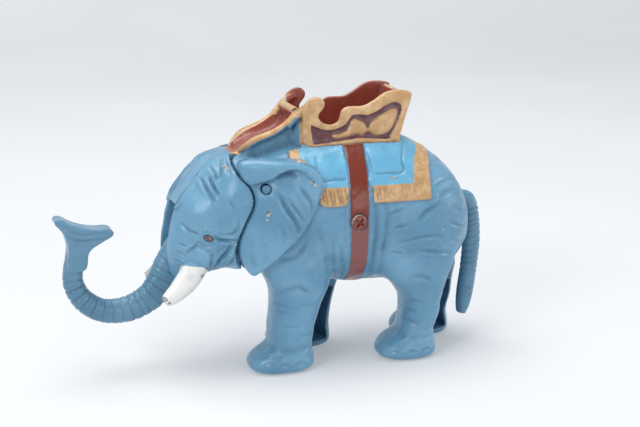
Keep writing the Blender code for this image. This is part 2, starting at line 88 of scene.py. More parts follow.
# Main forms, as in the frame: stations joined by smooth curves.
# Torso: x, top, bottom, half width. Head and neck: z, front, back, half width.
# Legs: z, front, back, inner face, outer face.
TORSO = [
    (-33, 94, 60, 14), (-24, 101, 52, 22), (-12, 106, 46.5, 28), (4, 110, 42.5, 31.5),
    (20, 112, 39.5, BELLY_HALF), (36, 112.5, 38, BELLY_HALF + 0.5), (50, 111.5, 37.5, BELLY_HALF + 0.5),
    (63, 108.5, 37.5, BELLY_HALF), (75, 102, 38, 31), (85, 93.5, 42, 27), (92, 84, 49, 20.5),
    (96, 74, 56, 11),
]
HEAD = [
    (46.5, -53.5, -42, 10.5), (50, -55, -33, 14.5), (54, -56, -20, 18), (60, -56.5, -12, 21.5),
    (70, -55, -8, 23.5), (80, -52.5, -6, 23), (90, -47.5, -6, 20.5), (98, -41, -7, 17.5),
    (103.5, -34, -9, 14), (106, -29.5, -13, 8),
]
NECK_PAD = [
    (52, -30, -14, 19), (60, -36, -10, 24), (70, -39, -8, 26.2), (80, -39, -8, 26.8), (90, -37, -8, 25.8),
    (98, -32, -8, 22), (103, -28, -10, 15),
]
FRONT_LEG = [
    (0, -14.5, 8.5, 7, 26), (1.2, -18, 12, 4.5, 29), (3.4, -19.8, 13, 3.5, 30),
    (6.8, -18.4, 12.7, 3.5, 29.5), (10, -13.5, 12.2, 3.5, 28.6), (12.5, -9.6, 12, 3.5, 28),
    (15, -9, 12.2, 3.5, 28), (22, -9, 13.3, 3.5, 28.5), (32, -8, 16, 3, 30), (42, -9, 20, 2.5, 31),
    (58, -16, 24, 2, 30), (76, -12, 20, 2, 26),
]
REAR_LEG = [
    (0, 50.5, 72.5, 7, 25.5), (1.2, 47.5, 75.6, 4.5, 28.4), (3.4, 46.2, 76.6, 3.5, 29.5),
    (7, 47.4, 76.2, 3.5, 29), (10.2, 51.6, 75.4, 3.5, 28.2), (12.6, 56.8, 74.8, 3.5, 28),
    (15, 57.8, 75, 3.5, 28), (22, 59, 77.2, 3.5, 29), (30, 58.8, 78, 3, 30.5), (38, 53.5, 80.5, 2.7, 31.5),
    (44, 47.5, 83, 2.5, 32), (56, 44, 87.5, 2, 31), (76, 50, 90, 2, 27),
]
EAR = [
    (-24.6, 104.5), (-16.9, 105.9), (-8.3, 105.4), (-0.6, 104.7), (5.9, 103.2), (11.2, 99.5), (13, 93),
    (10.8, 85.6), (6.9, 75.8), (1.5, 68.1), (-5.3, 62.4), (-14.1, 54), (-19.5, 50.5), (-24.2, 57.6),
    (-25.8, 64), (-24, 72.4), (-20.8, 79.5), (-18.4, 85.5), (-19.4, 92), (-24, 98),
]
CAR_WALL = [
    (14, 103), (11.6, 106.6), (9.4, 109.6), (8.8, 113), (8.7, 121), (9, 126.5), (12, 130.4), (16.5, 131.5),
    (19.5, 129.2), (19.3, 126.4), (16.6, 122.6), (18.4, 119.4), (22.6, 117.9), (26.6, 119.4), (28.3, 124.4),
    (31.5, 126.1), (39, 126.1), (44.5, 128.6), (50.4, 132.1), (56, 132.9), (61.8, 132.2), (63.6, 130),
    (60.8, 121), (58, 112.5), (53, 103),
]
CAR_FACE = 17.0
CAR_WALL_T = 3.0
REAR_PANEL = [
    (49.5, 103), (53.5, 103), (58.2, 112), (63.4, 129.5), (61.4, 131.2), (59.6, 130.5), (54.3, 112),
]
FRONT_PANEL = [
    (9, 104), (7.4, 114), (5.8, 121), (4.9, 124.4), (5.6, 126), (7.4, 126.2), (8.8, 124.6), (11.6, 114),
    (12, 104),
]
PROW_TOP = [
    (-25.6, 101.5), (-22.8, 104.8), (-20, 108.6), (-14.2, 113.1), (-7.5, 115.6), (-2.4, 117.9),
    (2.2, 121.2), (5.6, 125.2),
]
PROW_SCROLL = [(0.5, 119.4), (3.2, 122.2), (6, 125.2), (9.6, 127.9), (13.2, 129.6)]
WEB_TOP = [(-21, 101), (-13, 106), (-6.5, 109), (0, 112.6), (5, 117.5), (8.2, 122.6), (10.5, 124)]
# x, half width, depth
TROUGH = [
    (-26, 5.8, 1.2), (-23, 6.6, 1.8), (-19, 7.6, 2.4), (-15, 8.0, 3.0), (-10, 8.6, 3.6), (-4, 10.0, 4.6),
    (3, 10.9, 6.0), (8, 10.9, 6.4),
]
PROW_HALF = 13.5
SCROLL_R = 2.0                         # radius of the scrolled rim at the prow's top
WEB_HALF = 11.0
WEB_FOOT = 96.0                        # the web runs down into the back to this height
# Trunk and tail: x, z, half width. Tusk: x, z, distance from the seam, radius.
TRUNK = [
    (-37.5, 71.5, 8.0), (-44, 64, 8.5), (-52, 52.5, 8.2), (-57.5, 43, 7.4), (-63.5, 36.4, 6.7),
    (-73.8, 31.7, 6.2), (-85.5, 31.9, 5.6), (-94.8, 37.8, 5.2), (-99.2, 46.3, 4.8), (-99, 54, 4.7),
    (-97.4, 60.5, 4.6),
]
TRUNK_FAN = [
    (-102, 54), (-101.5, 64), (-103.6, 71.9), (-107.3, 76.6), (-106.6, 78.6), (-104, 78.6), (-99.5, 76),
    (-94, 73.9), (-88, 72.8), (-82.4, 72.6), (-80.2, 71), (-81, 68.9), (-86, 66.2), (-91.8, 62.2),
    (-93.8, 54),
]
TUSK = [
    (-39, 58, 12, 5.2), (-43.4, 54.2, 15, 5.8), (-48, 49.2, 17.6, 5.6), (-53, 44.4, 19.4, 4.9),
    (-57.4, 41.6, 20.6, 3.8), (-60.2, 40.4, 21, 2.7),
]
TAIL = [
    (86, 71, 4.2), (94, 73.4, 4.0), (99, 73.6, 3.9), (101.6, 70.5, 3.8), (103.2, 60, 4.1), (103.2, 50, 4.4),
    (102.2, 38, 4.2), (100.6, 26, 4.3), (99.4, 18, 3.6), (98.4, 13, 2.2),
]

# Creases pressed into the casting: depth, half width, points (x, z)
HEAD_CREASES = [
    (0.75, 0.75, [(-37.4, 70.4), (-33.9, 68.6), (-30, 68.8), (-26.1, 68.9), (-25.2, 70.2)]),
    (0.45, 0.6, [(-45.2, 66), (-43.5, 67), (-41.2, 65.5), (-38, 64.9)]),
    (0.5, 0.8, [(-49.4, 61.2), (-46.5, 64), (-43.9, 66)]),
    (0.45, 0.8, [(-44.8, 65), (-41.7, 64.5), (-38.9, 62.9), (-37.4, 60.3)]),
    (0.9, 0.8, [(-28.1, 68.6), (-29.9, 64.2), (-32.6, 60.9), (-35.1, 56.6), (-35.4, 51.4)]),
    (0.6, 0.7, [(-26, 65.2), (-27.6, 59.7), (-29.9, 55.3)]),
    (0.4, 0.7, [(-37.1, 63.3), (-38, 56.9), (-37.6, 50.3)]),
    (0.45, 0.8, [(-50.4, 76), (-47.6, 72.6), (-43.6, 71)]),
    (0.75, 0.8, [(-39.8, 95.7), (-38.6, 91.9), (-36.9, 88.5), (-35.4, 85.4)]),
    (0.75, 0.7, [(-36.5, 96.5), (-35.1, 92.4), (-32.9, 88.5)]),
    (0.55, 0.6, [(-34.9, 100.2), (-33.9, 97.5), (-33, 95)]),
    (0.45, 0.6, [(-29.3, 104.4), (-30.5, 99.6), (-30.7, 95.4)]),
    (0.4, 0.6, [(-26.8, 104.5), (-27.3, 99.6), (-26.9, 96.1)]),
    (0.35, 0.6, [(-23.8, 103.6), (-24.2, 98.6), (-24.1, 95)]),
    (0.4, 0.8, [(-26.5, 79.5), (-26.1, 75.7), (-28.1, 72.5), (-31.5, 70.9)]),
    (0.3, 0.8, [(-28.8, 86.9), (-27.2, 82.7)]),
    (0.3, 0.5, [(-52.5, 66), (-50, 65.2), (-48.2, 63.8)]),
    (0.3, 0.5, [(-53.2, 62), (-51, 61.4), (-49.2, 60.2)]),
    (0.3, 0.5, [(-53.4, 58), (-51.6, 57.4), (-50.2, 56)]),
]
EAR_CREASES = [
    (1.5, 1.2, [(-9.5, 92), (-7, 88), (-4.6, 83.6), (-1.6, 78.9), (0.8, 74.4), (1, 71)]),
    (1.1, 1.0, [(-4.7, 88.7), (-1.4, 83.7), (1.6, 79.2), (3.4, 75.4)]),
    (0.9, 1.0, [(1.5, 93.5), (4.8, 89), (7.4, 83.4), (7.4, 79)]),
    (0.5, 0.9, [(3.5, 99.9), (6.4, 97.3), (8.9, 93.3)]),
    (0.35, 1.6, [(-19.8, 70), (-20.2, 62), (-18.4, 55)]),
    (0.35, 1.5, [(-14.6, 68), (-14.2, 62), (-13.4, 57)]),
    (0.25, 1.3, [(-17.2, 66), (-17.2, 60)]),
    (0.3, 1.0, [(2, 92), (4.2, 87), (5.8, 82)]),
    (0.25, 0.9, [(5.2, 90), (7, 86)]),
    (0.3, 1.4, [(-9, 78), (-6, 71), (-6.5, 65)]),
]
FLANK_CREASES = [
    (0.5, 0.9, [(-7.3, 58.2), (-1.9, 58.4), (3.1, 60.8), (6.6, 66.7)]),
    (0.5, 1.2, [(9.7, 74), (13.3, 66.3), (17.2, 56.4), (19.2, 48.6)]),
    (0.55, 1.1, [(18.1, 68), (19.9, 57.9), (23.9, 47)]),
    (0.5, 0.8, [(22.2, 64), (24.6, 53.5), (27.2, 44.6)]),
    (0.8, 1.0, [(39.5, 81.8), (40, 69.6), (40.2, 56.4), (41.9, 43.2)]),
    (0.5, 1.1, [(43.6, 83.8), (45, 76.5), (44.6, 66.6), (44.4, 51.9), (46.5, 42.7)]),
    (0.5, 0.55, [(45.5, 76.4), (49.5, 78), (53.6, 78.7)]),
    (0.45, 0.55, [(48.6, 69.8), (52.2, 70.5), (55.8, 70.6)]),
    (0.6, 0.8, [(59.9, 71.7), (64.1, 75.8), (68.6, 78.1), (73.3, 79.9)]),
    (0.45, 0.6, [(50.2, 61.9), (58.4, 63.2), (66.7, 64.5), (75.8, 62.8)]),
    (0.3, 0.5, [(48.9, 57.1), (54.2, 56.1)]),
    (0.4, 0.6, [(62.1, 57.1), (69.3, 56.1), (79.2, 53.9)]),
    (0.5, 0.8, [(70.9, 88), (76.3, 88.9), (82.9, 88.7)]),
    (0.5, 0.8, [(71.7, 82.5), (76.4, 84.5), (82.3, 84.7)]),
    (0.35, 0.7, [(80.6, 76.8), (87.7, 73.3)]),
    (0.35, 0.6, [(74, 97.5), (79, 96.5), (84, 93)]),
    (0.35, 0.6, [(78, 70), (84, 67), (90, 66)]),
    (0.3, 0.6, [(80, 60.5), (86, 58.5), (91, 59)]),
]
LEG_CREASES = [
    (0.7, 0.9, [(-7.1, 39.4), (-3, 42.8), (2.1, 43.7), (5.5, 41.9), (8.1, 40.1)]),
    (0.35, 0.6, [(-7.3, 35.7), (-4.4, 34.5), (-1.9, 33.2)]),
    (0.3, 0.6, [(-7.3, 31.2), (-3.8, 31.4)]),
    (0.3, 0.6, [(3, 35), (7.5, 34.2), (11.5, 35.2)]),
    (0.3, 0.6, [(-6.5, 24.4), (-1, 23.6), (4, 24.4)]),
    (0.3, 0.6, [(2, 19.4), (7, 18.6), (11, 19.2)]),
    (0.5, 0.8, [(-10.5, 13.6), (-6, 12), (0, 11.6), (6, 12.2), (11, 13)]),
    (0.7, 0.7, [(57, 43.6), (60.9, 44.5), (65.1, 43.6), (69.2, 41.7)]),
    (0.5, 0.7, [(58.4, 21.2), (61.2, 19.6), (64.8, 18.2)]),
    (0.35, 0.6, [(59.3, 29.8), (62, 30.6), (65.5, 30.2)]),
    (0.3, 0.6, [(59.4, 25.6), (63, 25.2)]),
    (0.35, 0.7, [(66, 14.8), (70, 15.6), (74.5, 14.6)]),
    (0.5, 0.8, [(55.5, 13.2), (60, 12.2), (66, 11.8), (72, 12.4)]),
    (0.3, 0.6, [(70, 34), (75, 35), (79, 34)]),
]
# Centre x, z and radius
TOE_ARCS = [
    (-12.5, 3.6, 3.4), (-4.5, 2.2, 3.4), (3.2, 2.4, 3.2), (52.4, 2.4, 3.2), (60.6, 2.0, 3.4),
    (68.2, 2.4, 3.2),
]
EAR_LEDGES = [
    (2.9, 4.6, [(-22.5, 93.2), (-17.5, 94.6), (-11.5, 96.6), (-7, 99.4), (-2, 100.9), (3, 99.8),
                (6.4, 96.6)]),
    (2.4, 2.2, [(-9.6, 98.4), (-5.6, 100.1), (-1.6, 99.9), (1.4, 97.4)]),
]
# Soft rises and hollows: amount, radius, x, z
EAR_FORMS = [
    (0.7, 3.5, -16, 99.5), (0.7, 4.0, 6, 99), (0.9, 4.5, -14, 86), (-1.3, 3.6, -2.5, 95),
    (1.0, 4.5, 6.5, 86), (0.9, 6, -12, 62), (0.7, 5, -20, 66), (-0.7, 3.5, -22, 84),
]
HEAD_FORMS = [
    (1.9, 4.6, -40.6, 58.6), (1.1, 8, -42, 82), (-1.0, 4.5, -31, 77), (-1.3, 3.6, -39.4, 69),
    (1.0, 2.2, -39.2, 69.2), (0.8, 5, -33, 99), (-0.7, 4, -46, 66.5), (0.7, 4.5, -27, 62),
    (0.6, 3.0, -50.4, 56), (-0.5, 3, -46.5, 71.5),
]
FLANK_FORMS = [
    (1.2, 9, 66, 68), (0.8, 10, 2, 52), (-1.0, 6, 44.5, 58), (-1.0, 6, 21, 56), (0.8, 6, 52, 50),
    (0.8, 9, 78, 84), (-0.6, 5, 58, 80), (0.6, 8, 12, 82),
]

EYE = (-39.2, 69.2)
EYE_HALF = (2.3, 1.75)
BLANKET = [
    (9, 118), (7.5, 110), (4.4, 109), (2.2, 107.4), (1.2, 104), (0.8, 96), (2, 90.6), (10, 90.8),
    (12, 84.2), (14, 82.4), (20, 82), (24.4, 82.3), (26.4, 84.4), (26.6, 90), (38.4, 90), (38.6, 82.6),
    (48, 82.4), (58, 82.3), (67.6, 82), (68.6, 90), (69.6, 96), (72.6, 101.6), (73.6, 106), (74, 118),
]
CLOTH_FIELD = [
    (8.4, 118), (7.0, 109), (6, 104), (4.6, 96), (4.4, 91), (26.6, 90.6), (38.4, 90.6), (59.3, 90.2),
    (60.6, 97), (62.6, 101.4), (66.2, 104.5), (68, 118),
]
FRAME_LINES = [
    (0.4, 0.8, [(58.6, 107), (55.2, 100.5), (54.4, 95.6), (45.5, 95.6), (38.6, 95.8)]),
    (0.4, 0.8, [(29, 107), (27, 100.2), (26.2, 94.6), (20.4, 94.2), (14, 94), (12.4, 98), (13.6, 104)]),
    (0.35, 0.7, [(38.8, 95.8), (38.8, 106)]),
]
# z, front edge, back edge
STRAP_EDGES = [
    (30, 36, 37.2), (40, 30, 37), (52.6, 28.8, 36.8), (64.8, 27.3, 35.9), (77.8, 26.6, 35.8),
    (91.6, 27.3, 36.2), (102, 27.9, 36.8), (110, 28.4, 38.2),
]
PANEL = [
    (12.6, 118.4), (14.4, 117.6), (18.5, 116), (23.4, 115.5), (27.4, 116.6), (30.2, 118.2), (31.8, 120.4),
    (33.2, 121.9), (37, 122.3), (41, 121.7), (45.6, 123.4), (50.2, 126), (54, 127.2), (57.2, 126.4),
    (58.1, 123.8), (57, 119.8), (54.6, 114.6), (52.4, 110.4), (50.8, 109.7), (44, 110.1), (37, 110.8),
    (30, 110.2), (20.5, 109.4), (14.4, 109.1), (13.4, 110.6),
]
LEAF = [
    (23.6, 112.9), (27, 113.6), (30.2, 114.9), (31.6, 116.9), (32.6, 119.3), (34.6, 120.3), (36.6, 119.5),
    (39, 118.3), (40.9, 116), (41.7, 116.3), (43, 118.3), (44.6, 119.6), (48.4, 122), (52.6, 123.9),
    (55.3, 124.1), (56.5, 122), (55.6, 118.4), (53.6, 114.6), (51.2, 112.5), (48, 111.5), (44.6, 111.5),
    (42.2, 113.1), (40.6, 113.3), (38.4, 111.7), (36, 112.5), (33, 112.1), (28, 111.1), (24.8, 111.3),
]
# Bare spots: x, z, radius
CHIPS = [
    (-29.6, 101.4, 1.1), (-28.2, 101.2, 1.0), (7.9, 94.6, 1.3), (9.2, 93.6, 0.8), (-12.9, 81.7, 1.2),
    (-13.4, 80.4, 0.8), (-13.6, 78.2, 0.7), (-40.6, 74, 0.6), (-39, 73.6, 0.6), (48.5, 93.6, 0.9),
    (50.2, 93.7, 0.8), (57.6, 92.4, 0.8), (74.6, 66.4, 0.7), (37.6, 87, 0.8), (-60.6, 41.5, 1.5),
    (-58.6, 39.6, 1.0), (-47, 43.6, 0.8), (-41.8, 50.6, 1.2),
]


# ---------- curves and distances ----------

def through(points, per=6, closed=False):
    """A smooth curve through the points."""
    rows = np.array(points, float)
    if closed:
        pad = np.vstack([rows[-1], rows, rows[0], rows[1]])
        spans = len(rows)
    else:
        pad = np.vstack([2 * rows[0] - rows[1], rows, 2 * rows[-1] - rows[-2]])
        spans = len(rows) - 1
    out = []
    for i in range(spans):
        a, b, c, d = pad[i:i + 4]
        for t in np.arange(per) / per:
            curve = (2 * a - 5 * b + 4 * c - d) * t ** 2 + (3 * b - a - 3 * c + d) * t ** 3
            out.append(0.5 * (2 * b + (c - a) * t + curve))
    if not closed:
        out.append(rows[-1])
    return np.array(out)


def step(x):
    """Smooth step from 0 to 1."""
    x = np.clip(x, 0, 1)
    return x * x * (3 - 2 * x)


def bell(x, width):
    """1 at 0, falling away over the width."""
    return np.exp(-(x / width) ** 2)


def heading(path, k):
    """Direction of a path at one of its points."""
    way = path[min(k + 1, len(path) - 1)] - path[max(k - 1, 0)]
    return way / np.linalg.norm(way)


def stepped_back(z):
    """Share of the right legs' step back that is left at a height."""
    return np.clip((LEG_STEP_TOP - z) / LEG_STEP_FADE, 0, 1)


def inside(points, outline, margin=4.0):
    """Distance to a closed outline in the side view, positive inside, at least -margin."""
    low, high = outline.min(0) - margin, outline.max(0) + margin
    near = np.flatnonzero(((points > low) & (points < high)).all(1))
    out = np.full(len(points), -margin)
    p = points[near]
    within = np.zeros(len(p), bool)
    best = np.full(len(p), margin ** 2 * 100)
    for a, b in zip(outline, np.roll(outline, -1, 0)):
        e = b - a
        if e @ e < 1e-9:
            continue
        t = np.clip(((p - a) @ e) / (e @ e), 0, 1)
        best = np.minimum(best, ((p - a - t[:, None] * e) ** 2).sum(1))
        if abs(e[1]) > 1e-9:
            crossed = (a[1] > p[:, 1]) != (b[1] > p[:, 1])
            within ^= crossed & (p[:, 0] < e[0] * (p[:, 1] - a[1]) / e[1] + a[0])
    out[near] = np.maximum(np.where(within, 1, -1) * np.sqrt(best), -margin)
    return out


def along(points, path, reach):
    """For the points within reach of a path: their indices, distance, signed side and place from 0 to 1."""
    low, high = path.min(0) - reach, path.max(0) + reach
    near = np.flatnonzero(((points > low) & (points < high)).all(1))
    p = points[near]
    best = np.full(len(p), 1e9)
    place = np.zeros(len(p))
    side = np.zeros(len(p))
    lengths = np.linalg.norm(np.diff(path, axis=0), axis=1)
    starts = np.concatenate([[0], np.cumsum(lengths)])
    for k, (a, b) in enumerate(zip(path, path[1:])):
        e = b - a
        w = p - a
        t = np.clip((w @ e) / max(e @ e, 1e-9), 0, 1)
        d = ((w - t[:, None] * e) ** 2).sum(1)
        closer = d < best
        best = np.where(closer, d, best)
        place = np.where(closer, (starts[k] + t * lengths[k]) / starts[-1], place)
        side = np.where(closer, np.sign(e[0] * w[:, 1] - e[1] * w[:, 0]), side)
    return near, np.sqrt(best), side, place


def arch(place, power):
    """0 at both ends of a path and 1 in its middle."""
    return np.clip(np.sin(math.pi * np.clip(place, 0.0, 1.0)), 0, 1) ** power


def crease(points, height, depth, width, path, shoulder=0.4):
    """Press a groove with soft shoulders along a path, fading at its ends."""
    near, d, _, place = along(points, through(path, 5), width * 4)
    fade = arch(place, 0.5)
    groove = bell(d, width)
    bank = bell(d - 1.9 * width, width)
    height[near] += depth * fade * (shoulder * bank - groove)


def ledge(points, height, depth, width, path):
    """A sharp drop on the right of a path that rises away slowly."""
    near, d, side, place = along(points, through(path, 5), width * 4)
    fade = arch(place, 0.6)
    s = -d * side
    height[near] -= depth * fade * np.where(s > 0, bell(s, width), step(1 + s / 0.9))


def swell(points, height, amount, radius, x, z):
    """A soft rise or hollow."""
    d2 = (points[:, 0] - x) ** 2 + (points[:, 1] - z) ** 2
    height += amount * np.exp(-d2 / radius ** 2)


# ---------- meshes ----------

def make(name, points, faces):
    mesh = bpy.data.meshes.new(name)
    mesh.from_pydata([tuple(float(c) * MM for c in p) for p in points], [], faces)
    bm = bmesh.new()
    bm.from_mesh(mesh)
    bmesh.ops.recalc_face_normals(bm, faces=bm.faces)
    bm.to_mesh(mesh)
    bm.free()
    obj = bpy.data.objects.new(name, mesh)
    bpy.context.scene.collection.objects.link(obj)
    return obj


def loft(name, rings):
    """Closed tube through rings of equal length, with flat ends."""
    count, size = len(rings), len(rings[0])
    faces = []
    for k in range(count - 1):
        for i in range(size):
            j = (i + 1) % size
            faces.append((k * size + i, k * size + j, (k + 1) * size + j, (k + 1) * size + i))
    faces.append(tuple(range(size)))
    faces.append(tuple((count - 1) * size + i for i in reversed(range(size))))
    return make(name, np.concatenate(rings), faces)


def section(x, y, z):
    """One ring of a loft, where a single number stands for the whole ring."""
    return np.column_stack(np.broadcast_arrays(x, y, z))


def unit_ring(count, power):
    a = 2 * math.pi * (np.arange(count) + 0.5) / count
    c, s = np.cos(a), np.sin(a)
    return np.sign(c) * abs(c) ** (2 / power), np.sign(s) * abs(s) ** (2 / power)


def plate(name, outline, near, far):
    """An outline in the side view, given thickness across."""
    return loft(name, [section(outline[:, 0], y, outline[:, 1]) for y in (near, far)])


def rod(name, centre, radius, near, far, count=40):
    c, s = unit_ring(count, 2)
    return loft(name, [section(centre[0] + radius * c, y, centre[1] + radius * s) for y in (near, far)])


def block(name, low, high):
    (x0, y0, z0), (x1, y1, z1) = low, high
    return plate(name, np.array([(x0, z0), (x1, z0), (x1, z1), (x0, z1)], float), y0, y1)


def turned(name, centre, profile, count=48, side=-1):
    """A round piece on an axis across the body, from (radius, distance from the seam)."""
    c, s = unit_ring(count, 2)
    return loft(name, [section(centre[0] + r * c, side * y, centre[1] + r * s) for r, y in profile])


def drop(*objs):
    for o in objs:
        bpy.data.objects.remove(o, do_unlink=True)


def settle(obj):
    """Make the modifiers' result the object's own mesh."""
    shaped = obj.evaluated_get(bpy.context.evaluated_depsgraph_get())
    mesh = bpy.data.meshes.new_from_object(shaped)
    obj.modifiers.clear()
    obj.data = mesh
    return obj


def join(name, objs):
    bm = bmesh.new()
    for o in objs:
        bm.from_mesh(o.data)
    mesh = bpy.data.meshes.new(name)
    bm.to_mesh(mesh)
    bm.free()
    drop(*objs)
    obj = bpy.data.objects.new(name, mesh)
    bpy.context.scene.collection.objects.link(obj)
    return obj


def remesh(obj, voxel):
    mod = obj.modifiers.new("remesh", "REMESH")
    mod.mode = "VOXEL"
    mod.voxel_size = voxel * MM
    mod.use_smooth_shade = True
    return settle(obj)


def relax(obj, rounds, factor=0.5):
    mod = obj.modifiers.new("relax", "SMOOTH")
    mod.factor = factor
    mod.iterations = rounds
    return settle(obj)


def subtract(obj, cutters):
    for c in cutters:
        mod = obj.modifiers.new("cut", "BOOLEAN")
        mod.operation = "DIFFERENCE"
        mod.solver = "MANIFOLD"
        mod.object = c
    settle(obj)
    drop(*cutters)
    return obj


def points_of(mesh):
    co = np.empty(len(mesh.vertices) * 3, np.float32)
    mesh.vertices.foreach_get("co", co)
    return co.reshape(-1, 3).astype(float) / MM


def put_points(mesh, points):
    mesh.vertices.foreach_set("co", (points * MM).astype(np.float32).ravel())
    mesh.update()


def normals_of(mesh):
    n = np.empty(len(mesh.vertices) * 3, np.float32)
    mesh.vertex_normals.foreach_get("vector", n)
    return n.reshape(-1, 3).astype(float)


def edges_of(mesh):
    e = np.empty(len(mesh.edges) * 2, np.int32)
    mesh.edges.foreach_get("vertices", e)
    return e.reshape(-1, 2)


def averaged(values, edges, rounds):
    """Average each vertex value with its neighbours, some rounds over."""
    count = len(values)
    share = 1 / np.maximum(np.bincount(edges.ravel(), minlength=count), 1)
    columns = values.reshape(count, -1).T.copy()
    for _ in range(rounds):
        for k in range(len(columns)):
            total = np.bincount(edges[:, 0], columns[k][edges[:, 1]], count)
            total += np.bincount(edges[:, 1], columns[k][edges[:, 0]], count)
            columns[k] = 0.5 * columns[k] + 0.5 * total * share
    return columns.T.reshape(values.shape)


def store(mesh, name, values):
    layer = mesh.attributes.new(name, "FLOAT", "POINT")
    layer.data.foreach_set("value", values.astype(np.float32))


def mark_form(mesh, shade_extra=0.0):
    """Store where the surface is hollow and where it is an edge. The hollow values also carry the extra
    painted shade passed in.
    """
    points, normals, edges = points_of(mesh), normals_of(mesh), edges_of(mesh)
    fine = ((points - averaged(points, edges, 4)) * normals).sum(1)
    broad = ((points - averaged(points, edges, 16)) * normals).sum(1)
    store(mesh, "hollow", averaged(np.clip(-fine * 6 - broad * 2.2, 0, 1), edges, 1) + 1.2 * shade_extra)
    store(mesh, "ridge", averaged(np.clip(fine * 6 + broad * 1.2, 0, 1), edges, 1))


# ---------- body ----------

def torso(name, inset=0.0):
    rows = through(TORSO, 6)
    c, s = unit_ring(72, 2.2)
    rings = []
    for x, top, bottom, half in rows:
        mid, tall, wide = (top + bottom) / 2, (top - bottom) / 2 - inset, half - inset
        if tall > 2 and wide > 2 and x > -33 + inset * 2:
            rings.append(section(x, wide * c, mid + tall * s))
    return loft(name, rings)


def head(name, stations):
    c, s = unit_ring(72, 2.5)
    return loft(name, [section((f + b) / 2 + (b - f) / 2 * c, half * s, z)
                       for z, f, b, half in through(stations, 6)])


def leg(stations, side, back_step):
    c, s = unit_ring(60, 2.6)
    rings = []
    for z, f, b, inner, outer in through(stations, 6):
        shift = back_step * stepped_back(z)
        middle = side * (inner + outer) / 2
        rings.append(section((f + b) / 2 + shift + (b - f) / 2 * c, middle + (outer - inner) / 2 * s, z))
    return loft("leg", rings)


def leg_hollow(stations, side, back_step):
    """The inside of a leg, open on its inner face."""
    c, s = unit_ring(40, 3)
    rings = []
    for z, f, b, inner, outer in through([r for r in stations[1:] if r[0] < LEG_HOLLOW_TOP], 4):
        low, high = inner - LEG_HOLLOW_OPEN, outer - WALL
        along_x = (f + b) / 2 + back_step + ((b - f) / 2 - WALL) * c
        rings.append(section(along_x, side * (low + high) / 2 + (high - low) / 2 * s, max(z, SOLE)))
    return loft("leg_hollow", rings)


def ear_face(points, edge):
    """Distance of the ear's outer face from the seam."""
    x, z = points[:, 0], points[:, 1]
    height = np.zeros(len(points))
    height -= 5.6 * step((-6 - x) / 18)
    height -= 1.0 * step((68 - z) / 16)
    round_off = 1.9 + 2.0 * step((z - 98) / 5)
    inner = np.clip(edge, 0, round_off)
    height -= round_off - np.sqrt(round_off ** 2 - (round_off - inner) ** 2)
    for depth, width, path in EAR_LEDGES:
        ledge(points, height, depth, width, path)
    for form in EAR_FORMS:
        swell(points, height, *form)
    for depth, width, path in EAR_CREASES:
        crease(points, height, EAR_GAIN * depth, width, path)
    height += 0.12 * np.sin(x / 2.3 + z / 3.7) * np.sin(z / 2.9 - x / 4.1)
    return EAR_FACE + height


def ear(side):
    outline = through(EAR, 6, True)
    obj = remesh(plate("ear", outline, side * EAR_BACK, side * EAR_FACE), EAR_VOXEL)
    points = points_of(obj.data)
    flat = points[:, [0, 2]]
    face = ear_face(flat, inside(flat, outline))
    share = np.clip((abs(points[:, 1]) - EAR_BACK) / (EAR_FACE - EAR_BACK), 0, 1)
    points[:, 1] = side * (EAR_BACK + share * (face - EAR_BACK))
    if side > 0:
        points += (RIGHT_EAR_SHIFT[0], 0, RIGHT_EAR_SHIFT[1])
    put_points(obj.data, points)
    return subtract(obj, [rod("bore", RIVET, 2.32, side * 20, side * 40)])


def tusk(side):
    rows = through(TUSK, 8)
    c, s = unit_ring(32, 2)
    rings = []
    for k, (x, z, y, r) in enumerate(rows):
        a, b = rows[max(k - 1, 0)], rows[min(k + 1, len(rows) - 1)]
        way = Vector((b[0] - a[0], side * (b[2] - a[2]), b[1] - a[1])).normalized()
        across = way.cross(Vector((0, 1, 0))).normalized()
        up = way.cross(across)
        centre = np.array((x, side * y, z))
        rings.append([centre + np.array(across) * r * u + np.array(up) * r * 0.86 * v for u, v in zip(c, s)])
    tip = rows[-1]
    rings.append([np.array((tip[0] - 0.9, side * tip[2], tip[1] - 0.2)) * 0.6 + p * 0.4 for p in rings[-1]])
    return loft("tusk", [np.array(r) for r in rings])


def web_half(x):
    """Half width of the blue web under the prow, which flares out to meet the car's walls."""
    return WEB_HALF + 5.2 * step((x - 1.5) / 8.5)


def prow_half(x):
    """Half width of the prow, which narrows to a tongue on the neck."""
    return PROW_HALF - 7.0 * step((-14 - x) / 12)


def looked_up(table, value):
    """The second and third columns of a table, interpolated on its first."""
    rows = np.array(table, float)
    return np.interp(value, rows[:, 0], rows[:, 1]), np.interp(value, rows[:, 0], rows[:, 2])


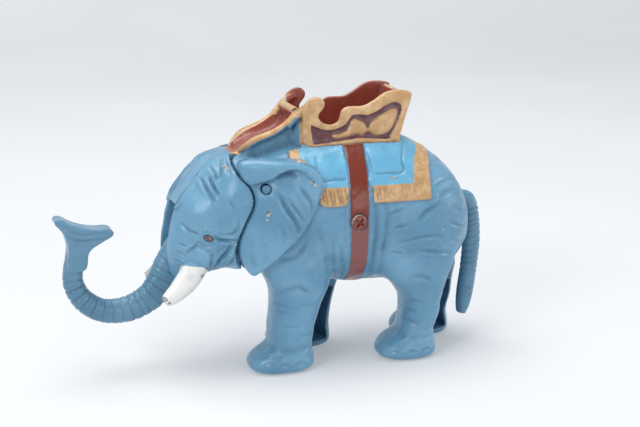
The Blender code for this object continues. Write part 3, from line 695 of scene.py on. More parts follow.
def car():
    """The howdah car: scrolled walls, a leaning back, a front wall and the trough down to the neck."""
    pieces = []
    wall = through(CAR_WALL, 5, True)
    for side in (-1, 1):
        obj = remesh(plate("car_wall", wall, side * (CAR_FACE - CAR_WALL_T), side * CAR_FACE), CAR_VOXEL)
        points = points_of(obj.data)
        flat = points[:, [0, 2]]
        height = np.zeros(len(points))
        outer = abs(points[:, 1]) > CAR_FACE - 1
        panel = inside(flat, through(PANEL, 4, True))
        leaf = inside(flat, through(LEAF, 4, True))
        height -= 1.15 * step((panel + 0.3) / 0.9)
        height += 1.25 * step((leaf + 0.2) / 1.8)
        edge = np.clip(inside(flat, wall), 0, 1.1)
        height -= 1.1 - np.sqrt(1.1 ** 2 - (1.1 - edge) ** 2)
        points[:, 1] += side * np.where(outer, height, 0)
        put_points(obj.data, points)
        pieces.append(obj)
    pieces.append(plate("car_back", through(REAR_PANEL, 1, True), -CAR_FACE + 1, CAR_FACE - 1))
    pieces.append(plate("car_front", through(FRONT_PANEL, 3, True), -WEB_HALF, WEB_HALF))
    c, s = unit_ring(48, 6)
    pieces.append(loft("web", [section(x, web_half(x) * c, (z + WEB_FOOT) / 2 + (z - WEB_FOOT) / 2 * s)
                               for x, z in through(WEB_TOP, 5)]))
    top = through(PROW_TOP, 6)
    rings = []
    for k, (x, z) in enumerate(top):
        t = heading(top, k)
        down = np.array((t[1], -t[0]))
        half = prow_half(x)
        floor_half, deep = looked_up(TROUGH, x)
        lip = [(half, 0.9), (half - 0.7, 0.15), (half - 1.6, 0), (floor_half + 0.9, 0.35), (floor_half, 0.9),
               (floor_half - 0.7, 0.6 * deep), (floor_half - 2.2, deep), (0, deep + 0.4)]
        under = [(-half, 2.4), (-WEB_HALF, 3.8), (-WEB_HALF, 8.8)]
        under += [(-y, d) for y, d in reversed(under)]
        y, d = np.array(lip + [(-y, d) for y, d in lip[-2::-1]] + under).T
        rings.append(section(x + down[0] * d, y, z + down[1] * d))
    pieces.append(loft("prow", rings))
    for side in (-1, 1):
        path = through(PROW_SCROLL, 6)
        c, s = unit_ring(24, 2.4)
        rings = []
        for k, (x, z) in enumerate(path):
            t = heading(path, k)
            middle = 12.4 + 2.4 * step(k / (len(path) - 1))
            reach = SCROLL_R * (c - 1)
            rings.append(section(x - t[1] * reach, side * (middle + SCROLL_R * s), z + t[0] * reach))
        pieces.append(loft("scroll", rings))
    return pieces


def body_cutters():
    bosses = [rod("boss", at, radius, -PAST_BODY, PAST_BODY)
              for at, radius in ((SCREW, 4.2), (RIVET, 3.6), (TAIL_PIVOT, 3.4))]
    chamber = subtract(torso("chamber", WALL + 0.3), bosses)
    cutters = [
        chamber,
        block("head_slot", (-70, -SLOT_HALF, 36), (-23, SLOT_HALF, 82.5)),
        block("wire_way", (-46, -SLOT_HALF, 62), (-8, SLOT_HALF, 84)),
        block("coin_slot", (24, -1.6, 100), (50, 1.6, 116)),
        block("tail_slot", (80, -4.8, 63), (106, 4.8, 86)),
        rod("screw_bore", SCREW, 2.3, -40, 40),
        rod("head_recess", SCREW, 4.9, -40, -32.8),
        block("nut_recess", (SCREW[0] - 4, 30.8, SCREW[1] - 4), (SCREW[0] + 4, 40, SCREW[1] + 4)),
        rod("rivet_bore", RIVET, 2.1, -40, 40),
        rod("trunk_pin_bore", TRUNK_PIVOT, PIN_BORE, -11, 11),
        rod("tail_pin_bore", TAIL_PIVOT, PIN_BORE, -10, 10),
    ]
    for side, front_step, rear_step in ((-1, 0, 0), (1, FRONT_STEP, REAR_STEP)):
        cutters.append(leg_hollow(FRONT_LEG, side, front_step))
        cutters.append(leg_hollow(REAR_LEG, side, rear_step))
    return cutters


def body_form():
    forms = [torso("torso"), head("head", HEAD), head("neck", NECK_PAD)]
    for side, front_step, rear_step in ((-1, 0, 0), (1, FRONT_STEP, REAR_STEP)):
        forms += [leg(FRONT_LEG, side, front_step), leg(REAR_LEG, side, rear_step)]
    core = relax(remesh(join("core", forms), CORE_VOXEL), 16)
    subtract(core, body_cutters())
    pieces = [core, *car()]
    for side in (-1, 1):
        pieces += [ear(side), tusk(side)]
    body = remesh(join("body", pieces), BODY_VOXEL)
    return relax(body, 2, 0.4)


def relief(flat, creases, forms, spread=1.0):
    """Heights that a table of creases and a table of soft forms add to the hide."""
    height = np.zeros(len(flat))
    for depth, width, path in creases:
        crease(flat, height, depth, spread * width, path)
    for form in forms:
        swell(flat, height, *form)
    return height


def finish_body(body):
    """Relief and paint zones of the whole casting, before it is split."""
    mesh = body.data
    points, normals = points_of(mesh), normals_of(mesh)
    x, y, z = points.T
    side = np.where(y < 0, -1.0, 1.0)
    across = abs(y)
    outward = normals[:, 1] * side
    flat = points[:, [0, 2]]
    shift = np.where(side > 0, RIGHT_LEG_STEP * stepped_back(z), 0)
    leg_flat = np.column_stack([x - shift, z])

    ear_flat = flat - np.outer(side > 0, RIGHT_EAR_SHIFT)
    ear_line = inside(ear_flat, through(EAR, 6, True))
    on_ear = (ear_line > 0.2) | ((ear_line > -0.6) & (ear_flat[:, 0] < -8))
    on_ear &= (across > 24.5) & ((outward > 0.0) | (across > 30.5))
    prow_top = through(PROW_TOP, 6)
    prow_z = np.interp(x, prow_top[:, 0], prow_top[:, 1])
    on_prow = (x > -26.6) & (x < 9.5) & (across < prow_half(x) + 0.9 + 1.6 * (x > -2))
    on_prow &= (z > prow_z - 8) & (z < prow_z + 3.2) & (z > 99.5)
    wall_foot = 107.9 + 1.2 * step((12.5 - x) / 3.5) * (x < 12.5)
    on_car = (z > wall_foot) & (x > 7.5) & (x < 66) & (across < CAR_FACE + 0.8)
    on_web = (across > 7) & (across < web_half(x) + 0.5) & (x > -21) & (x < 9.0) & (z > 103) & (outward > 0.1)
    skin = ~on_ear & ~on_prow & ~on_car & ~on_web & (outward > 0.12)

    head_h = relief(flat, HEAD_CREASES, HEAD_FORMS)
    flank_h = relief(flat, FLANK_CREASES, FLANK_FORMS, FLANK_SPREAD)
    leg_h = relief(leg_flat, LEG_CREASES, [], LEG_SPREAD)
    for cx, cz, radius in TOE_ARCS:
        turn = np.linspace(0.35, math.pi - 0.35, 5)
        arc = np.column_stack([cx + radius * np.cos(turn), cz + radius * np.sin(turn)])
        crease(leg_flat, leg_h, 0.35, 0.6, arc)
    lumps = np.sin(x / 3.1 + z / 4.7) * np.sin(z / 3.3 - x / 5.3 + across / 4)
    lumps += 0.5 * np.sin(x / 1.7 - z / 2.1) * np.sin(z / 1.9 + 1)
    height = (HEAD_GAIN * head_h + FLANK_GAIN * flank_h + LEG_GAIN * leg_h + LUMP_GAIN * lumps) * skin

    crevice = (x < -8) & (outward > -0.2) & ~on_prow & ~on_ear & (z > 50)
    head_side = crevice & (x < -15) & (outward > 0.25)
    height += 3.4 * step((x + 43) / 20) * head_side * step((105 - z) / 9) * step((z - 50) / 9)
    gap_line = bell(ear_line + 0.3, 0.5) * crevice * step((-12 - ear_flat[:, 0]) / 4)
    height -= 3.0 * gap_line
    brow = (x < -36) & (z > 81) & (z < 99) & (normals[:, 0] < 0)
    rim_at = SLOT_HALF + 2.6 * step((z - 81) / 4)
    brow_fade = brow * step((99 - z) / 4)
    rim_gap = bell(across - rim_at, 0.6) * brow_fade
    height += 0.9 * bell(across - rim_at - 2.4, 1.6) * brow_fade - 1.7 * rim_gap

    # Blanket and strap stand proud of the hide. The far strap ends at the belly, above the leg
    left, right = looked_up(STRAP_EDGES, z)
    strap_line = np.minimum(x - left, right - x)
    on_strap = (z < 109) & ~on_car & ((across > 14) | (z < 60)) & (outward > -0.2)
    on_strap &= ~((z < 60) & (across < 26) & (normals[:, 2] > -0.2)) & ~((side > 0) & (z < 53))
    strap_line = np.where(on_strap, strap_line, OUTSIDE)
    on_hide = ~on_ear & ~on_prow & (across > 9) & (outward > 0.0) & ((across > 15.5) | (x > 9))
    blanket_line = np.where(on_hide & ~on_car, inside(flat, np.array(BLANKET, float)), OUTSIDE)
    field_line = np.where(on_hide, inside(flat, np.array(CLOTH_FIELD, float)), OUTSIDE)
    blanket_line = np.where(strap_line > -0.9, np.minimum(blanket_line, -strap_line - 0.9), blanket_line)
    gold_band = np.minimum(blanket_line, -field_line)
    height += 0.75 * step((blanket_line + 0.3) / 0.8)
    low_band = (z < 91.5) & (gold_band > 0)
    flutes = low_band * np.cos(2 * math.pi * (x + 0.12 * z) / 1.9 + 1.3 * np.sin(x * 1.7))
    flutes *= step((91 - z) / 2)
    flutes *= np.where(x < 34, 0.2, 0.06 + 0.1 * step((46 - x) / 6))
    side_band = (gold_band > 0) & (z >= 89) & (x > 50)
    height += flutes + 0.05 * side_band * np.cos(2 * math.pi * (z + 0.5 * x) / 1.7 + np.sin(z))
    height += 1.35 * relief(flat, FRAME_LINES, []) * (field_line > 0) * (blanket_line > 0)
    height += 0.55 * step((strap_line + 0.5) / 0.9)
    height += 0.35 * bell(strap_line + 1.3, 0.6) * (blanket_line < 0) * (strap_line > -3.9)

    # Painted shade, besides what the hollows hold: the gap behind the head, the web under the prow, round the
    # screw head, inside the legs
    points += normals * height[:, None]
    put_points(mesh, points)
    web_shade = 0.85 * on_web * (0.35 + 0.65 * step((x + 14) / 16)) * step((WEB_HALF + 6 - across) / 5)
    screw_ring_shade = 0.8 * bell(np.hypot(x - SCREW[0], z - SCREW[1]) - 4.5, 0.45) * (across > 24)
    inside_leg_shade = 0.6 * (outward < -0.3) * (z < 46)
    gap_shade = gap_line ** 3 * step((z - 60) / 12)
    mark_form(mesh, np.maximum.reduce([gap_shade, rim_gap * 0.9, web_shade, screw_ring_shade, inside_leg_shade]))

    # Paint zones, as distances in millimetres that are positive inside
    rim = on_car & (across > CAR_FACE - CAR_WALL_T - 0.2) & (outward > -0.45)
    inner_face = on_car & (z > 109) & ((across < CAR_FACE - CAR_WALL_T + 0.5) | ~rim)
    back_rim = on_car & (x > 56) & (normals[:, 2] > 0.75) & (z > 129)
    scroll = (x > 0) & (x < 14) & (z > prow_z - 2.8) & (across > 10.3) & (z > 119.5)
    scroll &= (outward > -0.3) | (x < 7)
    front_band = (x > 3.6) & (x < 9.6) & (across < PROW_HALF) & (z > 124.3)
    panel = inside(flat, through(PANEL, 4, True))
    leaf = inside(flat, through(LEAF, 4, True))
    in_trough = on_prow & (x < 8) & ((normals[:, 2] > -0.3) | (across < WEB_HALF - 0.8))
    trough = np.where(in_trough, looked_up(TROUGH, x)[0] - across, OUTSIDE)
    slab = on_prow & (z > prow_z - 2.0 - 1.0 * (across < WEB_HALF + 1) + 0.8 * step((-18 - x) / 4))
    gold = np.where(slab, np.maximum(-trough, -1.5), OUTSIDE)
    gold = np.where(on_prow & ~slab, np.minimum(-0.25, z - prow_z + 2.3), gold)
    gold = np.where(rim | back_rim | front_band | scroll, 2.0, gold)
    gold = np.where(gold_band > -3, np.maximum(gold, gold_band), gold)
    red = np.where(on_prow & ~rim & ~front_band & ~scroll, trough, OUTSIDE)
    red = np.where(inner_face & ~back_rim & ~front_band & ~scroll, 2.0, red)
    lobe_face = (z > 113) & (x > -5) & (x < 14) & (outward < -0.15) & (across > 8.5) & (gold < 0)
    red = np.where(lobe_face, 1.0, red)
    maroon = np.where(rim & (outward > 0.2) & (across > CAR_FACE - 1.6), np.minimum(panel, -leaf), OUTSIDE)
    tusk_line = np.full(len(points), OUTSIDE)
    near = np.flatnonzero((x < -38) & (z < 60) & (across > 8))
    close = np.column_stack([x[near], across[near], z[near]])
    for cx, cz, cy, radius in through(TUSK, 6):
        gap = radius + 0.55 - np.linalg.norm(close - (cx, cy, cz), axis=1)
        tusk_line[near] = np.maximum(tusk_line[near], gap)
    lip = 55.4 - 0.1 * (x + 44) - z
    tusk_line = np.minimum(tusk_line * 2, np.where(x > -41.5, lip - 0.9 * (x + 41.5), lip))
    ex, ez = x - EYE[0], z - EYE[1]
    eye_line = 1.1 - (abs(ex) / EYE_HALF[0]) ** 1.6 - (abs(ez + 0.2 * ex) / EYE_HALF[1]) ** 1.5
    eye_line = np.where((across > 15) & (x < -30), eye_line * 2, OUTSIDE)
    chip = np.zeros(len(points))
    for cx, cz, radius in CHIPS:
        chip = np.maximum(chip, 1 - np.hypot(x - cx, z - cz) / (radius * 1.6))
    zones = {
        "gold": gold, "red": red, "maroon": maroon, "cloth": np.minimum(blanket_line, field_line),
        "strap": strap_line, "white": tusk_line, "eye": eye_line, "chip": chip * (side < 0) * (outward > 0),
    }
    for name, values in zones.items():
        store(mesh, name, values)
    return body


def split_half(body, side, name):
    """One half of the casting, cut flat just beside the seam and closed."""
    bm = bmesh.new()
    bm.from_mesh(body.data)
    bmesh.ops.bisect_plane(bm, geom=bm.verts[:] + bm.edges[:] + bm.faces[:], dist=1e-7,
                           plane_co=(0, side * SEAM_HALF * MM, 0), plane_no=(0, side, 0), clear_inner=True)
    rim = [e for e in bm.edges if e.is_boundary]
    bmesh.ops.triangle_fill(bm, edges=rim, use_beauty=False)
    bmesh.ops.recalc_face_normals(bm, faces=bm.faces)
    mesh = bpy.data.meshes.new(name)
    bm.to_mesh(mesh)
    bm.free()
    mesh.shade_smooth()
    mesh.set_sharp_from_angle(angle=math.radians(50))
    obj = bpy.data.objects.new(name, mesh)
    bpy.context.scene.collection.objects.link(obj)
    return obj


# ---------- trunk and tail ----------

def limb_tube(name, rows, half):
    """A bent bar with an oval section, from rows of x, z, half width."""
    rows = through(rows, 8)
    c, s = unit_ring(56, 2.2)
    rings = []
    for k, (x, z, r) in enumerate(rows):
        t = heading(rows[:, :2], k)
        thick = min(half, half * (0.62 + 0.38 * r / rows[:, 2].max()) * 1.03)
        rings.append(section(x - t[1] * r * c, thick * s, z + t[0] * r * c))
    return loft(name, rings)


def ring_wrinkles(points, height, rows, pitch, depth, start, stop, seed):
    """Grooves across a limb, a little uneven, between two places along it."""
    path = through(rows, 8)[:, :2]
    near, d, side, place = along(points[:, [0, 2]], path, 12)
    total = np.linalg.norm(np.diff(path, axis=0), axis=1).sum()
    rng = np.random.default_rng(seed)
    at = start * total
    s = place * total + d * side * 0.06
    while at < stop * total:
        sharp = rng.uniform(0.32, 0.62)
        deep = depth * rng.uniform(0.45, 1.0)
        fade = step((stop * total - at) / (0.12 * total))
        wobble = 0.25 * np.sin(points[near, 1] * 0.9 + at)
        gap = s - at + wobble
        height[near] += deep * fade * (0.45 * bell(abs(gap) - 1.1, 0.9) - bell(gap, sharp))
        at += pitch * rng.uniform(0.75, 1.25)


def lever(name, pivot, reach, lean, down):
    """Crank or arm: a flat link with a round end."""
    sign = -1 if down else 1
    tip = (pivot[0] - reach * math.sin(lean), pivot[1] + sign * reach * math.cos(lean))
    side = np.array((math.cos(lean), sign * math.sin(lean))) * LEVER_R
    a, b = np.array(pivot), np.array(tip)
    bar = plate(name, np.array([a - side, a + side, b + side, b - side]), -LEVER_HALF, LEVER_HALF)
    return tip, [bar, rod(name, tip, LEVER_R, -LEVER_HALF, LEVER_HALF)]


def finish_limb(obj, name, points, normals, height):
    put_points(obj.data, points + normals * height[:, None])
    mark_form(obj.data)
    obj.data.shade_smooth()
    obj.name = name
    return obj


def trunk_piece():
    lean = math.radians(28)
    _, crank = lever("crank", TRUNK_PIVOT, 8.2, lean, False)
    fan = plate("fan", through(TRUNK_FAN, 5, True), -TRUNK_HALF + 0.3, TRUNK_HALF - 0.3)
    tube = limb_tube("tube", TRUNK, TRUNK_HALF)
    hub = rod("hub", TRUNK_PIVOT, 8.2, -TRUNK_HALF, TRUNK_HALF)
    soft = relax(remesh(join("trunk_soft", [tube, hub, fan]), LIMB_VOXEL), 7)
    # The crank stands free above the hub
    subtract(soft, [block("relief", (-52, near, 75.2), (-24, far, 90))
                    for near, far in ((-9, -LEVER_HALF), (LEVER_HALF, 9))])
    trunk = remesh(join("trunk_shape", [soft, *crank]), LIMB_VOXEL)
    slot = block("wire_slot", (-1.1, -4, 4.3), (1.1, 4, 8.3))
    slot.data.transform(Matrix.Rotation(-lean, 4, "Y"))
    slot.data.transform(Matrix.Translation((TRUNK_PIVOT[0] * MM, 0, TRUNK_PIVOT[1] * MM)))
    subtract(trunk, [slot, rod("bore", TRUNK_PIVOT, PIN_BORE, -9, 9)])
    points, normals = points_of(trunk.data), normals_of(trunk.data)
    height = np.zeros(len(points))
    ring_wrinkles(points, height, TRUNK, 4.4, 0.42, 0.18, 0.97, 3)
    flat = points[:, [0, 2]]
    height *= step((np.linalg.norm(flat - TRUNK_PIVOT, axis=1) - 16) / 8)
    crease(flat, height, -0.5, 0.8, [(-105, 74.6), (-100, 71.2), (-95, 69.6), (-90, 69.6), (-83.5, 69.4)])
    swell(flat, height, -0.5, 3.5, -97, 66)
    return finish_limb(trunk, "trunk_cast", points, normals, height)


def tail_piece():
    lean = math.radians(17.5)
    tip, arm = lever("arm", TAIL_PIVOT, 11.2, lean, True)
    tube = limb_tube("tube", TAIL, TAIL_HALF)
    hub = rod("hub", TAIL_PIVOT, 4.6, -TAIL_HALF, TAIL_HALF)
    soft = relax(remesh(join("tail_soft", [tube, hub]), LIMB_VOXEL), 6)
    tail = remesh(join("tail_shape", [soft, *arm]), LIMB_VOXEL)
    subtract(tail, [rod("wire_hole", tip, 1.1, -4, 4, 20), rod("bore", TAIL_PIVOT, PIN_BORE, -9, 9)])
    points, normals = points_of(tail.data), normals_of(tail.data)
    height = np.zeros(len(points))
    ring_wrinkles(points, height, TAIL, 3.3, 0.34, 0.26, 0.78, 8)
    flat = points[:, [0, 2]]
    height *= step((points[:, 0] - 94) / 5)
    crease(flat, height, 0.35, 0.6, [(98, 27.6), (101, 26.8), (104, 27.6)])
    return finish_limb(tail, "tail_cast", points, normals, height)


# ---------- fasteners ----------

def screw_piece():
    """Pan-head screw with a cross recess, shank and threads, through both halves."""
    profile = [
        (0.01, 35.0), (1.6, 34.98), (2.8, 34.75), (3.5, 34.4), (3.9, 33.9), (4.0, 33.3), (3.9, 33.1),
        (2.1, 33.1), (2.0, 32.6),
    ]
    at = 12.0
    shank = [(2.0, 14.0)]
    while at > -33:
        shank += [(2.0, at), (1.72, at - 0.35)]
        at -= 0.7
    shank += [(1.9, -33.6), (1.4, -34.2), (0.01, -34.3)]
    obj = turned("screw", SCREW, profile + shank)
    cross = [block("cut", (-a, -40, -b), (a, -33.6, b)) for a, b in ((2.3, 0.5), (0.5, 2.3))]
    for cutter in cross:
        cutter.data.transform(Matrix.Rotation(0.65, 4, "Y"))
        cutter.data.transform(Matrix.Translation((SCREW[0] * MM, 0, SCREW[1] * MM)))
    subtract(obj, cross)
    obj.data.shade_smooth()
    obj.data.set_sharp_from_angle(angle=math.radians(35))
    obj.name = "screw_pan_head"
    return obj


def rivet_piece():
    """Pin through the ears with a shallow domed head at each end."""
    end = [(0.01, 32.4), (0.9, 32.35), (1.5, 32.2), (1.9, 31.9), (2.05, 31.5), (2.05, 30.2), (1.5, 30.1)]
    rows = end + [(1.5, 0)] + [(r, -d) for r, d in reversed(end)]
    obj = turned("rivet", RIVET, rows, 40)
    obj.data.shade_smooth()
    obj.data.set_sharp_from_angle(angle=math.radians(40))
    obj.name = "ear_rivet"
    return obj


# ---------- materials ----------

class Paint:
    """A short way to write node trees."""

    def __init__(self, name):
        self.mat = bpy.data.materials.new(name)
        self.mat.use_nodes = True
        self.tree = self.mat.node_tree
        self.shader = self.tree.nodes["Principled BSDF"]

    def node(self, kind, **settings):
        n = self.tree.nodes.new(kind)
        for key, value in settings.items():
            setattr(n, key, value)
        return n

    def plug(self, value, socket):
        if isinstance(value, bpy.types.NodeSocket):
            self.tree.links.new(value, socket)
        elif isinstance(value, tuple) and len(value) == 3 and len(socket.default_value) == 4:
            socket.default_value = (*value, 1)
        else:
            socket.default_value = value

    def attribute(self, name):
        return self.node("ShaderNodeAttribute", attribute_name=name).outputs["Fac"]

    def math(self, operation, a, b=0.0, clamp=False):
        n = self.node("ShaderNodeMath", operation=operation, use_clamp=clamp)
        self.plug(a, n.inputs[0])
        self.plug(b, n.inputs[1])
        return n.outputs[0]

    def times(self, a, b, clamp=False):
        return self.math("MULTIPLY", a, b, clamp)

    def plus(self, a, b):
        return self.math("ADD", a, b)

    def minus(self, a, b):
        return self.math("SUBTRACT", a, b)

    def place(self):
        """The object's own space, as x, y and z sockets."""
        n = self.node("ShaderNodeSeparateXYZ")
        self.plug(self.node("ShaderNodeTexCoord").outputs["Object"], n.inputs[0])
        return n.outputs

    def look(self, **values):
        """Set or link the shader's sockets, named with _ for each space."""
        for name, value in values.items():
            self.plug(value, self.shader.inputs[name.replace("_", " ")])

    def ramp(self, value, low, high, out_low=0.0, out_high=1.0):
        n = self.node("ShaderNodeMapRange", interpolation_type="SMOOTHSTEP")
        for socket, v in zip(n.inputs, (value, low, high, out_low, out_high)):
            self.plug(v, socket)
        return n.outputs[0]

    def mix(self, share, a, b):
        n = self.node("ShaderNodeMix", data_type="RGBA")
        self.plug(share, n.inputs[0])
        self.plug(a, n.inputs[6])
        self.plug(b, n.inputs[7])
        return n.outputs[2]

    def noise(self, scale, detail=3.0, rough=0.5, stretch=None):
        """Noise in the object's own space, scale in bumps for each millimetre."""
        place = self.node("ShaderNodeTexCoord").outputs["Object"]
        if stretch:
            m = self.node("ShaderNodeMapping")
            m.inputs["Scale"].default_value = stretch
            self.plug(place, m.inputs["Vector"])
            place = m.outputs[0]
        n = self.node("ShaderNodeTexNoise")
        self.plug(place, n.inputs["Vector"])
        n.inputs["Scale"].default_value = scale * 1000
        n.inputs["Detail"].default_value = detail
        n.inputs["Roughness"].default_value = rough
        return n.outputs["Fac"]

    def bump(self, height, strength, distance):
        n = self.node("ShaderNodeBump")
        n.inputs["Strength"].default_value = strength
        n.inputs["Distance"].default_value = distance * MM
        self.plug(height, n.inputs["Height"])
        self.plug(n.outputs[0], self.shader.inputs["Normal"])
        self.plug(n.outputs[0], self.shader.inputs["Coat Normal"])


BLUE = (0.092, 0.238, 0.368)
BLUE_LIGHT = (0.138, 0.312, 0.46)
TURQUOISE = (0.115, 0.355, 0.54)
GOLD = (0.46, 0.265, 0.115)
GOLD_IN_SHADE = (0.27, 0.145, 0.055)
RED = (0.27, 0.06, 0.038)
MAROON = (0.12, 0.03, 0.036)
STRAP_HIGH = (0.165, 0.024, 0.011)     # the strap is a cleaner red above the screw than below
STRAP_LOW = (0.21, 0.07, 0.066)
WHITE = (0.72, 0.72, 0.70)
DARK = (0.02, 0.02, 0.024)
BARE = (0.42, 0.43, 0.44)


def enamel(name, zones, shade=1.0):
    """Blue enamel over cast iron, with hand-painted zones, painted shade with patchy dirt in the hollows,
    worn edges and chips. A shade below 1 darkens the whole enamel as painted shade.
    """
    p = Paint(name)
    blue, light = (tuple(shade * c for c in tone) for tone in (BLUE, BLUE_LIGHT))
    cloud = p.noise(0.035, 3)
    grain = p.noise(0.45, 4, 0.6)
    base = p.mix(p.ramp(cloud, 0.35, 0.68), blue, light)
    rough = p.ramp(p.noise(0.12, 5, 0.62), 0.36, 0.66, 0.24, 0.46)
    if zones:
        wobble = p.times(p.minus(p.noise(0.38, 2), 0.5), 1.5)
        cloth_tone = p.mix(p.ramp(p.noise(0.09, 3), 0.3, 0.7), TURQUOISE, (0.16, 0.43, 0.62))
        gold_tone = p.mix(p.ramp(p.noise(0.22, 5, 0.68), 0.38, 0.66), GOLD, (0.60, 0.395, 0.205))
        gold_tone = p.mix(p.ramp(p.noise(1.1, 3, 0.6), 0.66, 0.74, 0.0, 0.6), gold_tone, (0.16, 0.075, 0.03))
        # The gold darkens in the hollows: painted shade
        gold_tone = p.mix(p.times(p.attribute("hollow"), 0.9, True), gold_tone, GOLD_IN_SHADE)
        red_tone = p.mix(p.ramp(p.noise(0.16, 4), 0.42, 0.75), RED, (0.31, 0.07, 0.045))
        strap_tone = p.mix(p.ramp(p.place()[2], 0.0745, 0.0715), STRAP_HIGH, STRAP_LOW)
        maroon_tone = p.mix(p.ramp(p.noise(0.2, 4), 0.4, 0.7), MAROON, (0.2, 0.09, 0.1))
        white_tone = p.mix(p.ramp(p.noise(0.15, 5, 0.6), 0.5, 0.8), WHITE, (0.52, 0.52, 0.5))
        gloss = 0.0
        tones = (("cloth", cloth_tone, 0.35), ("gold", gold_tone, 0.4), ("red", red_tone, 0.4),
                 ("maroon", maroon_tone, 0.5), ("strap", strap_tone, 0.3), ("white", white_tone, 0.3))
        for zone, tone, edge in tones:
            line = p.plus(p.attribute(zone), p.times(wobble, edge))
            share = p.ramp(line, -0.16, 0.16)
            base = p.mix(share, base, tone)
            if zone in ("cloth", "red", "maroon", "strap"):
                gloss = p.math("MAXIMUM", gloss, share)
        rough = p.minus(rough, p.times(gloss, 0.14))
        eye = p.attribute("eye")
        base = p.mix(p.ramp(eye, -0.05, 0.15), base, DARK)
        iris = p.mix(p.ramp(p.noise(0.55, 2), 0.42, 0.55), (0.1, 0.035, 0.032), (0.16, 0.13, 0.16))
        base = p.mix(p.ramp(eye, 0.5, 1.2), base, iris)
    # Painted shade in the hollows and the marked gaps, made patchy like dirt
    hollow_shade_and_dirt = p.times(p.attribute("hollow"), p.ramp(p.noise(0.3, 3), 0.25, 0.7, 0.45, 1.0), True)
    base = p.mix(p.times(hollow_shade_and_dirt, 0.62), base, p.mix(0.75, base, (0.012, 0.03, 0.055)))
    rub = p.times(p.attribute("ridge"), p.ramp(p.noise(0.25, 5, 0.7), 0.5, 0.7), True)
    if zones:
        rub = p.times(rub, p.minus(1.0, gloss))
    base = p.mix(p.times(rub, 0.4), base, p.mix(0.5, base, (0.5, 0.58, 0.62)))
    speck = p.noise(0.9, 3, 0.6)
    if zones:
        chip = p.times(p.attribute("chip"), 1.1)
        bare = p.ramp(p.plus(chip, p.times(speck, 0.55)), 0.78, 0.86)
        edge_chip = p.ramp(p.plus(p.times(p.attribute("ridge"), 0.35), speck), 0.93, 0.97)
        bare = p.math("MAXIMUM", bare, edge_chip)
        flake = p.mix(p.ramp(p.noise(0.7, 3, 0.6), 0.42, 0.54), (0.1, 0.085, 0.075), BARE)
        base = p.mix(bare, base, flake)
        rough = p.plus(rough, p.times(bare, 0.2))
    p.look(Base_Color=base, Roughness=rough, Specular_IOR_Level=0.34, Coat_Weight=0.24, Coat_Roughness=0.13)
    body = p.plus(p.times(grain, 0.6), p.times(p.noise(0.16, 5, 0.6), 1.3))
    p.bump(body, 0.75, 0.32)
    return p.mat


def metal(name, tone, dark, rough, spots=0.5):
    """Worn metal with darker stains and fine scratches."""
    p = Paint(name)
    base = p.mix(p.ramp(p.noise(0.6, 5, 0.65), 0.4, 0.65, 0.0, spots * 2), tone, dark)
    p.look(Base_Color=base, Metallic=0.85, Roughness=p.ramp(p.noise(1.2, 4), 0.3, 0.7, rough, rough + 0.2))
    p.bump(p.noise(1.6, 4, 0.6, (1, 1, 6)), 0.3, 0.06)
    return p.mat


def screw_metal():
    """Steel head with red paint left in its recess."""
    p = Paint("screw_steel")
    place = p.place()
    dx, dz = p.minus(place[0], SCREW[0] * MM), p.minus(place[2], SCREW[1] * MM)
    from_axis = p.math("SQRT", p.plus(p.times(dx, dx), p.times(dz, dz)))
    steel = p.mix(p.ramp(p.noise(0.8, 5, 0.7), 0.4, 0.62), (0.33, 0.31, 0.30), (0.09, 0.08, 0.08))
    reach = p.plus(from_axis, p.times(p.noise(0.7, 3), 0.0022))
    painted = p.ramp(reach, 0.0049, 0.0043)
    base = p.mix(painted, steel, (0.2, 0.045, 0.032))
    p.look(Base_Color=base, Metallic=p.ramp(painted, 0.0, 1.0, 0.75, 0.05),
           Roughness=p.ramp(p.noise(1.5, 3), 0.3, 0.7, 0.28, 0.5))
    p.bump(p.noise(1.2, 4, 0.6), 0.3, 0.08)
    return p.mat


def studio_paper():
    """Pale floor and backdrop, lit a little from within."""
    p = Paint("studio_paper")
    tone = p.mix(p.ramp(p.noise(0.004, 2), 0.35, 0.65), (0.50, 0.51, 0.525), (0.52, 0.53, 0.54))
    p.look(Base_Color=tone, Emission_Color=(0.94, 0.97, 1.0), Emission_Strength=0.27, Roughness=0.85,
           Specular_IOR_Level=0.15)
    return p.mat


# ---------- stage ----------

def camera():
    cam = bpy.data.objects.new("camera", bpy.data.cameras.new("camera"))
    bpy.context.scene.collection.objects.link(cam)
    cam.data.lens = 85
    cam.data.sensor_width = 36
    azimuth, elevation, distance = math.radians(-18), math.radians(14), 0.74
    aim = Vector((0.0225, 0, 0.071))
    level = math.cos(elevation)
    back = Vector((math.sin(azimuth) * level, -math.cos(azimuth) * level, math.sin(elevation)))
    cam.location = aim + back * distance
    cam.rotation_mode = "QUATERNION"
    cam.rotation_quaternion = (-back).to_track_quat("-Z", "Y")
    cam.data.clip_start = 0.01
    bpy.context.scene.camera = cam


def area(name, place, target, size, power, tone=(1, 1, 1)):
    data = bpy.data.lights.new(name, "AREA")
    data.shape = "RECTANGLE"
    data.size, data.size_y = size
    data.energy = power
    data.color = tone
    lamp = bpy.data.objects.new(name, data)
    bpy.context.scene.collection.objects.link(lamp)
    lamp.location = place
    lamp.rotation_mode = "QUATERNION"
    lamp.rotation_quaternion = (Vector(target) - Vector(place)).to_track_quat("-Z", "Y")


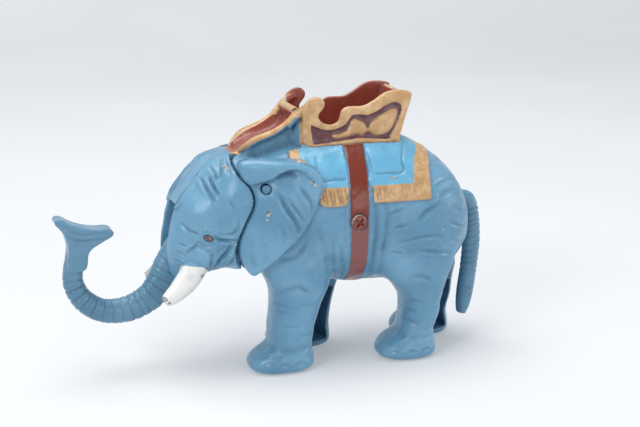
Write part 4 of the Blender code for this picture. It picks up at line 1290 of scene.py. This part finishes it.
def stage():
    floor_z = cad_box[0].z / MM - 0.05
    sweep = [(-1200, 0), (900, 0), (1080, 14), (1220, 70), (1320, 180), (1390, 380), (1420, 1200)]
    points = [(x, y, floor_z + rise) for y, rise in sweep for x in (-1500, 1500)]
    faces = [(2 * k, 2 * k + 1, 2 * k + 3, 2 * k + 2) for k in range(len(sweep) - 1)]
    obj = make("studio_sweep", points, faces)
    obj.data.shade_smooth()
    obj.data.materials.append(studio_paper())
    area("top_softbox", (-0.15, 0.1, 1.1), (0, 0, 0.05), (0.9, 0.8), 9.5, (1.0, 0.99, 0.975))
    area("key_softbox", (-0.95, -0.8, 0.75), (0, 0, 0.05), (0.45, 0.45), 6.0, (1.0, 0.99, 0.975))
    area("front_softbox", (0.4, -1.3, 0.22), (0, 0, 0.05), (1.0, 0.3), 2.2, (1.0, 0.995, 0.985))
    area("right_softbox", (1.2, -0.4, 0.25), (0.05, 0, 0.04), (0.7, 0.4), 3.6, (0.98, 0.99, 1.0))
    world = bpy.data.worlds.new("studio")
    world.use_nodes = True
    sky = world.node_tree.nodes["Background"].inputs
    sky["Color"].default_value = (0.93, 0.96, 1.0, 1)
    sky["Strength"].default_value = 0.6
    bpy.context.scene.world = world
    bpy.context.scene.view_settings.view_transform = "Standard"


# ---------- assembly ----------

def dress(obj, material):
    obj.data.materials.clear()
    obj.data.materials.append(material)


painted = enamel("painted_casting", True)
# A darker copy of the blue enamel for the trunk, tail and rivet: painted shade
blue_shaded_darker = enamel("blue_casting_shaded", False, 0.78)
whole = finish_body(body_form())
for side, half_name in ((-1, "left_body_half"), (1, "right_body_half")):
    half = split_half(whole, side, half_name.replace("_half", "_casting"))
    dress(half, painted)
    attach(half, "body")
    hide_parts(half_name)
drop(whole)

trunk = trunk_piece()
dress(trunk, blue_shaded_darker)
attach(trunk, "trunk")
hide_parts("trunk")

tail = tail_piece()
dress(tail, blue_shaded_darker)
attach(tail, "tail")
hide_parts("tail")

screw = screw_piece()
dress(screw, screw_metal())
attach(screw, "body")
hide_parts("body_screw")

rivet = rivet_piece()
dress(rivet, blue_shaded_darker)
mark_form(rivet.data)
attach(rivet, "body")
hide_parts("front_rivet")

iron = metal("pin_iron", (0.2, 0.19, 0.18), (0.07, 0.045, 0.03), 0.45)
steel = metal("nut_steel", (0.4, 0.39, 0.38), (0.16, 0.1, 0.07), 0.35)
wire = metal("drawn_wire", (0.32, 0.31, 0.3), (0.14, 0.09, 0.06), 0.3, 0.3)
carried = {"body_nut": steel, "trunk_pivot_pin": iron, "tail_pivot_pin": iron, "link_rod": wire}
for node, material in carried.items():
    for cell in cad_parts[node].material_slots:
        cell.material = material

stage()
camera()
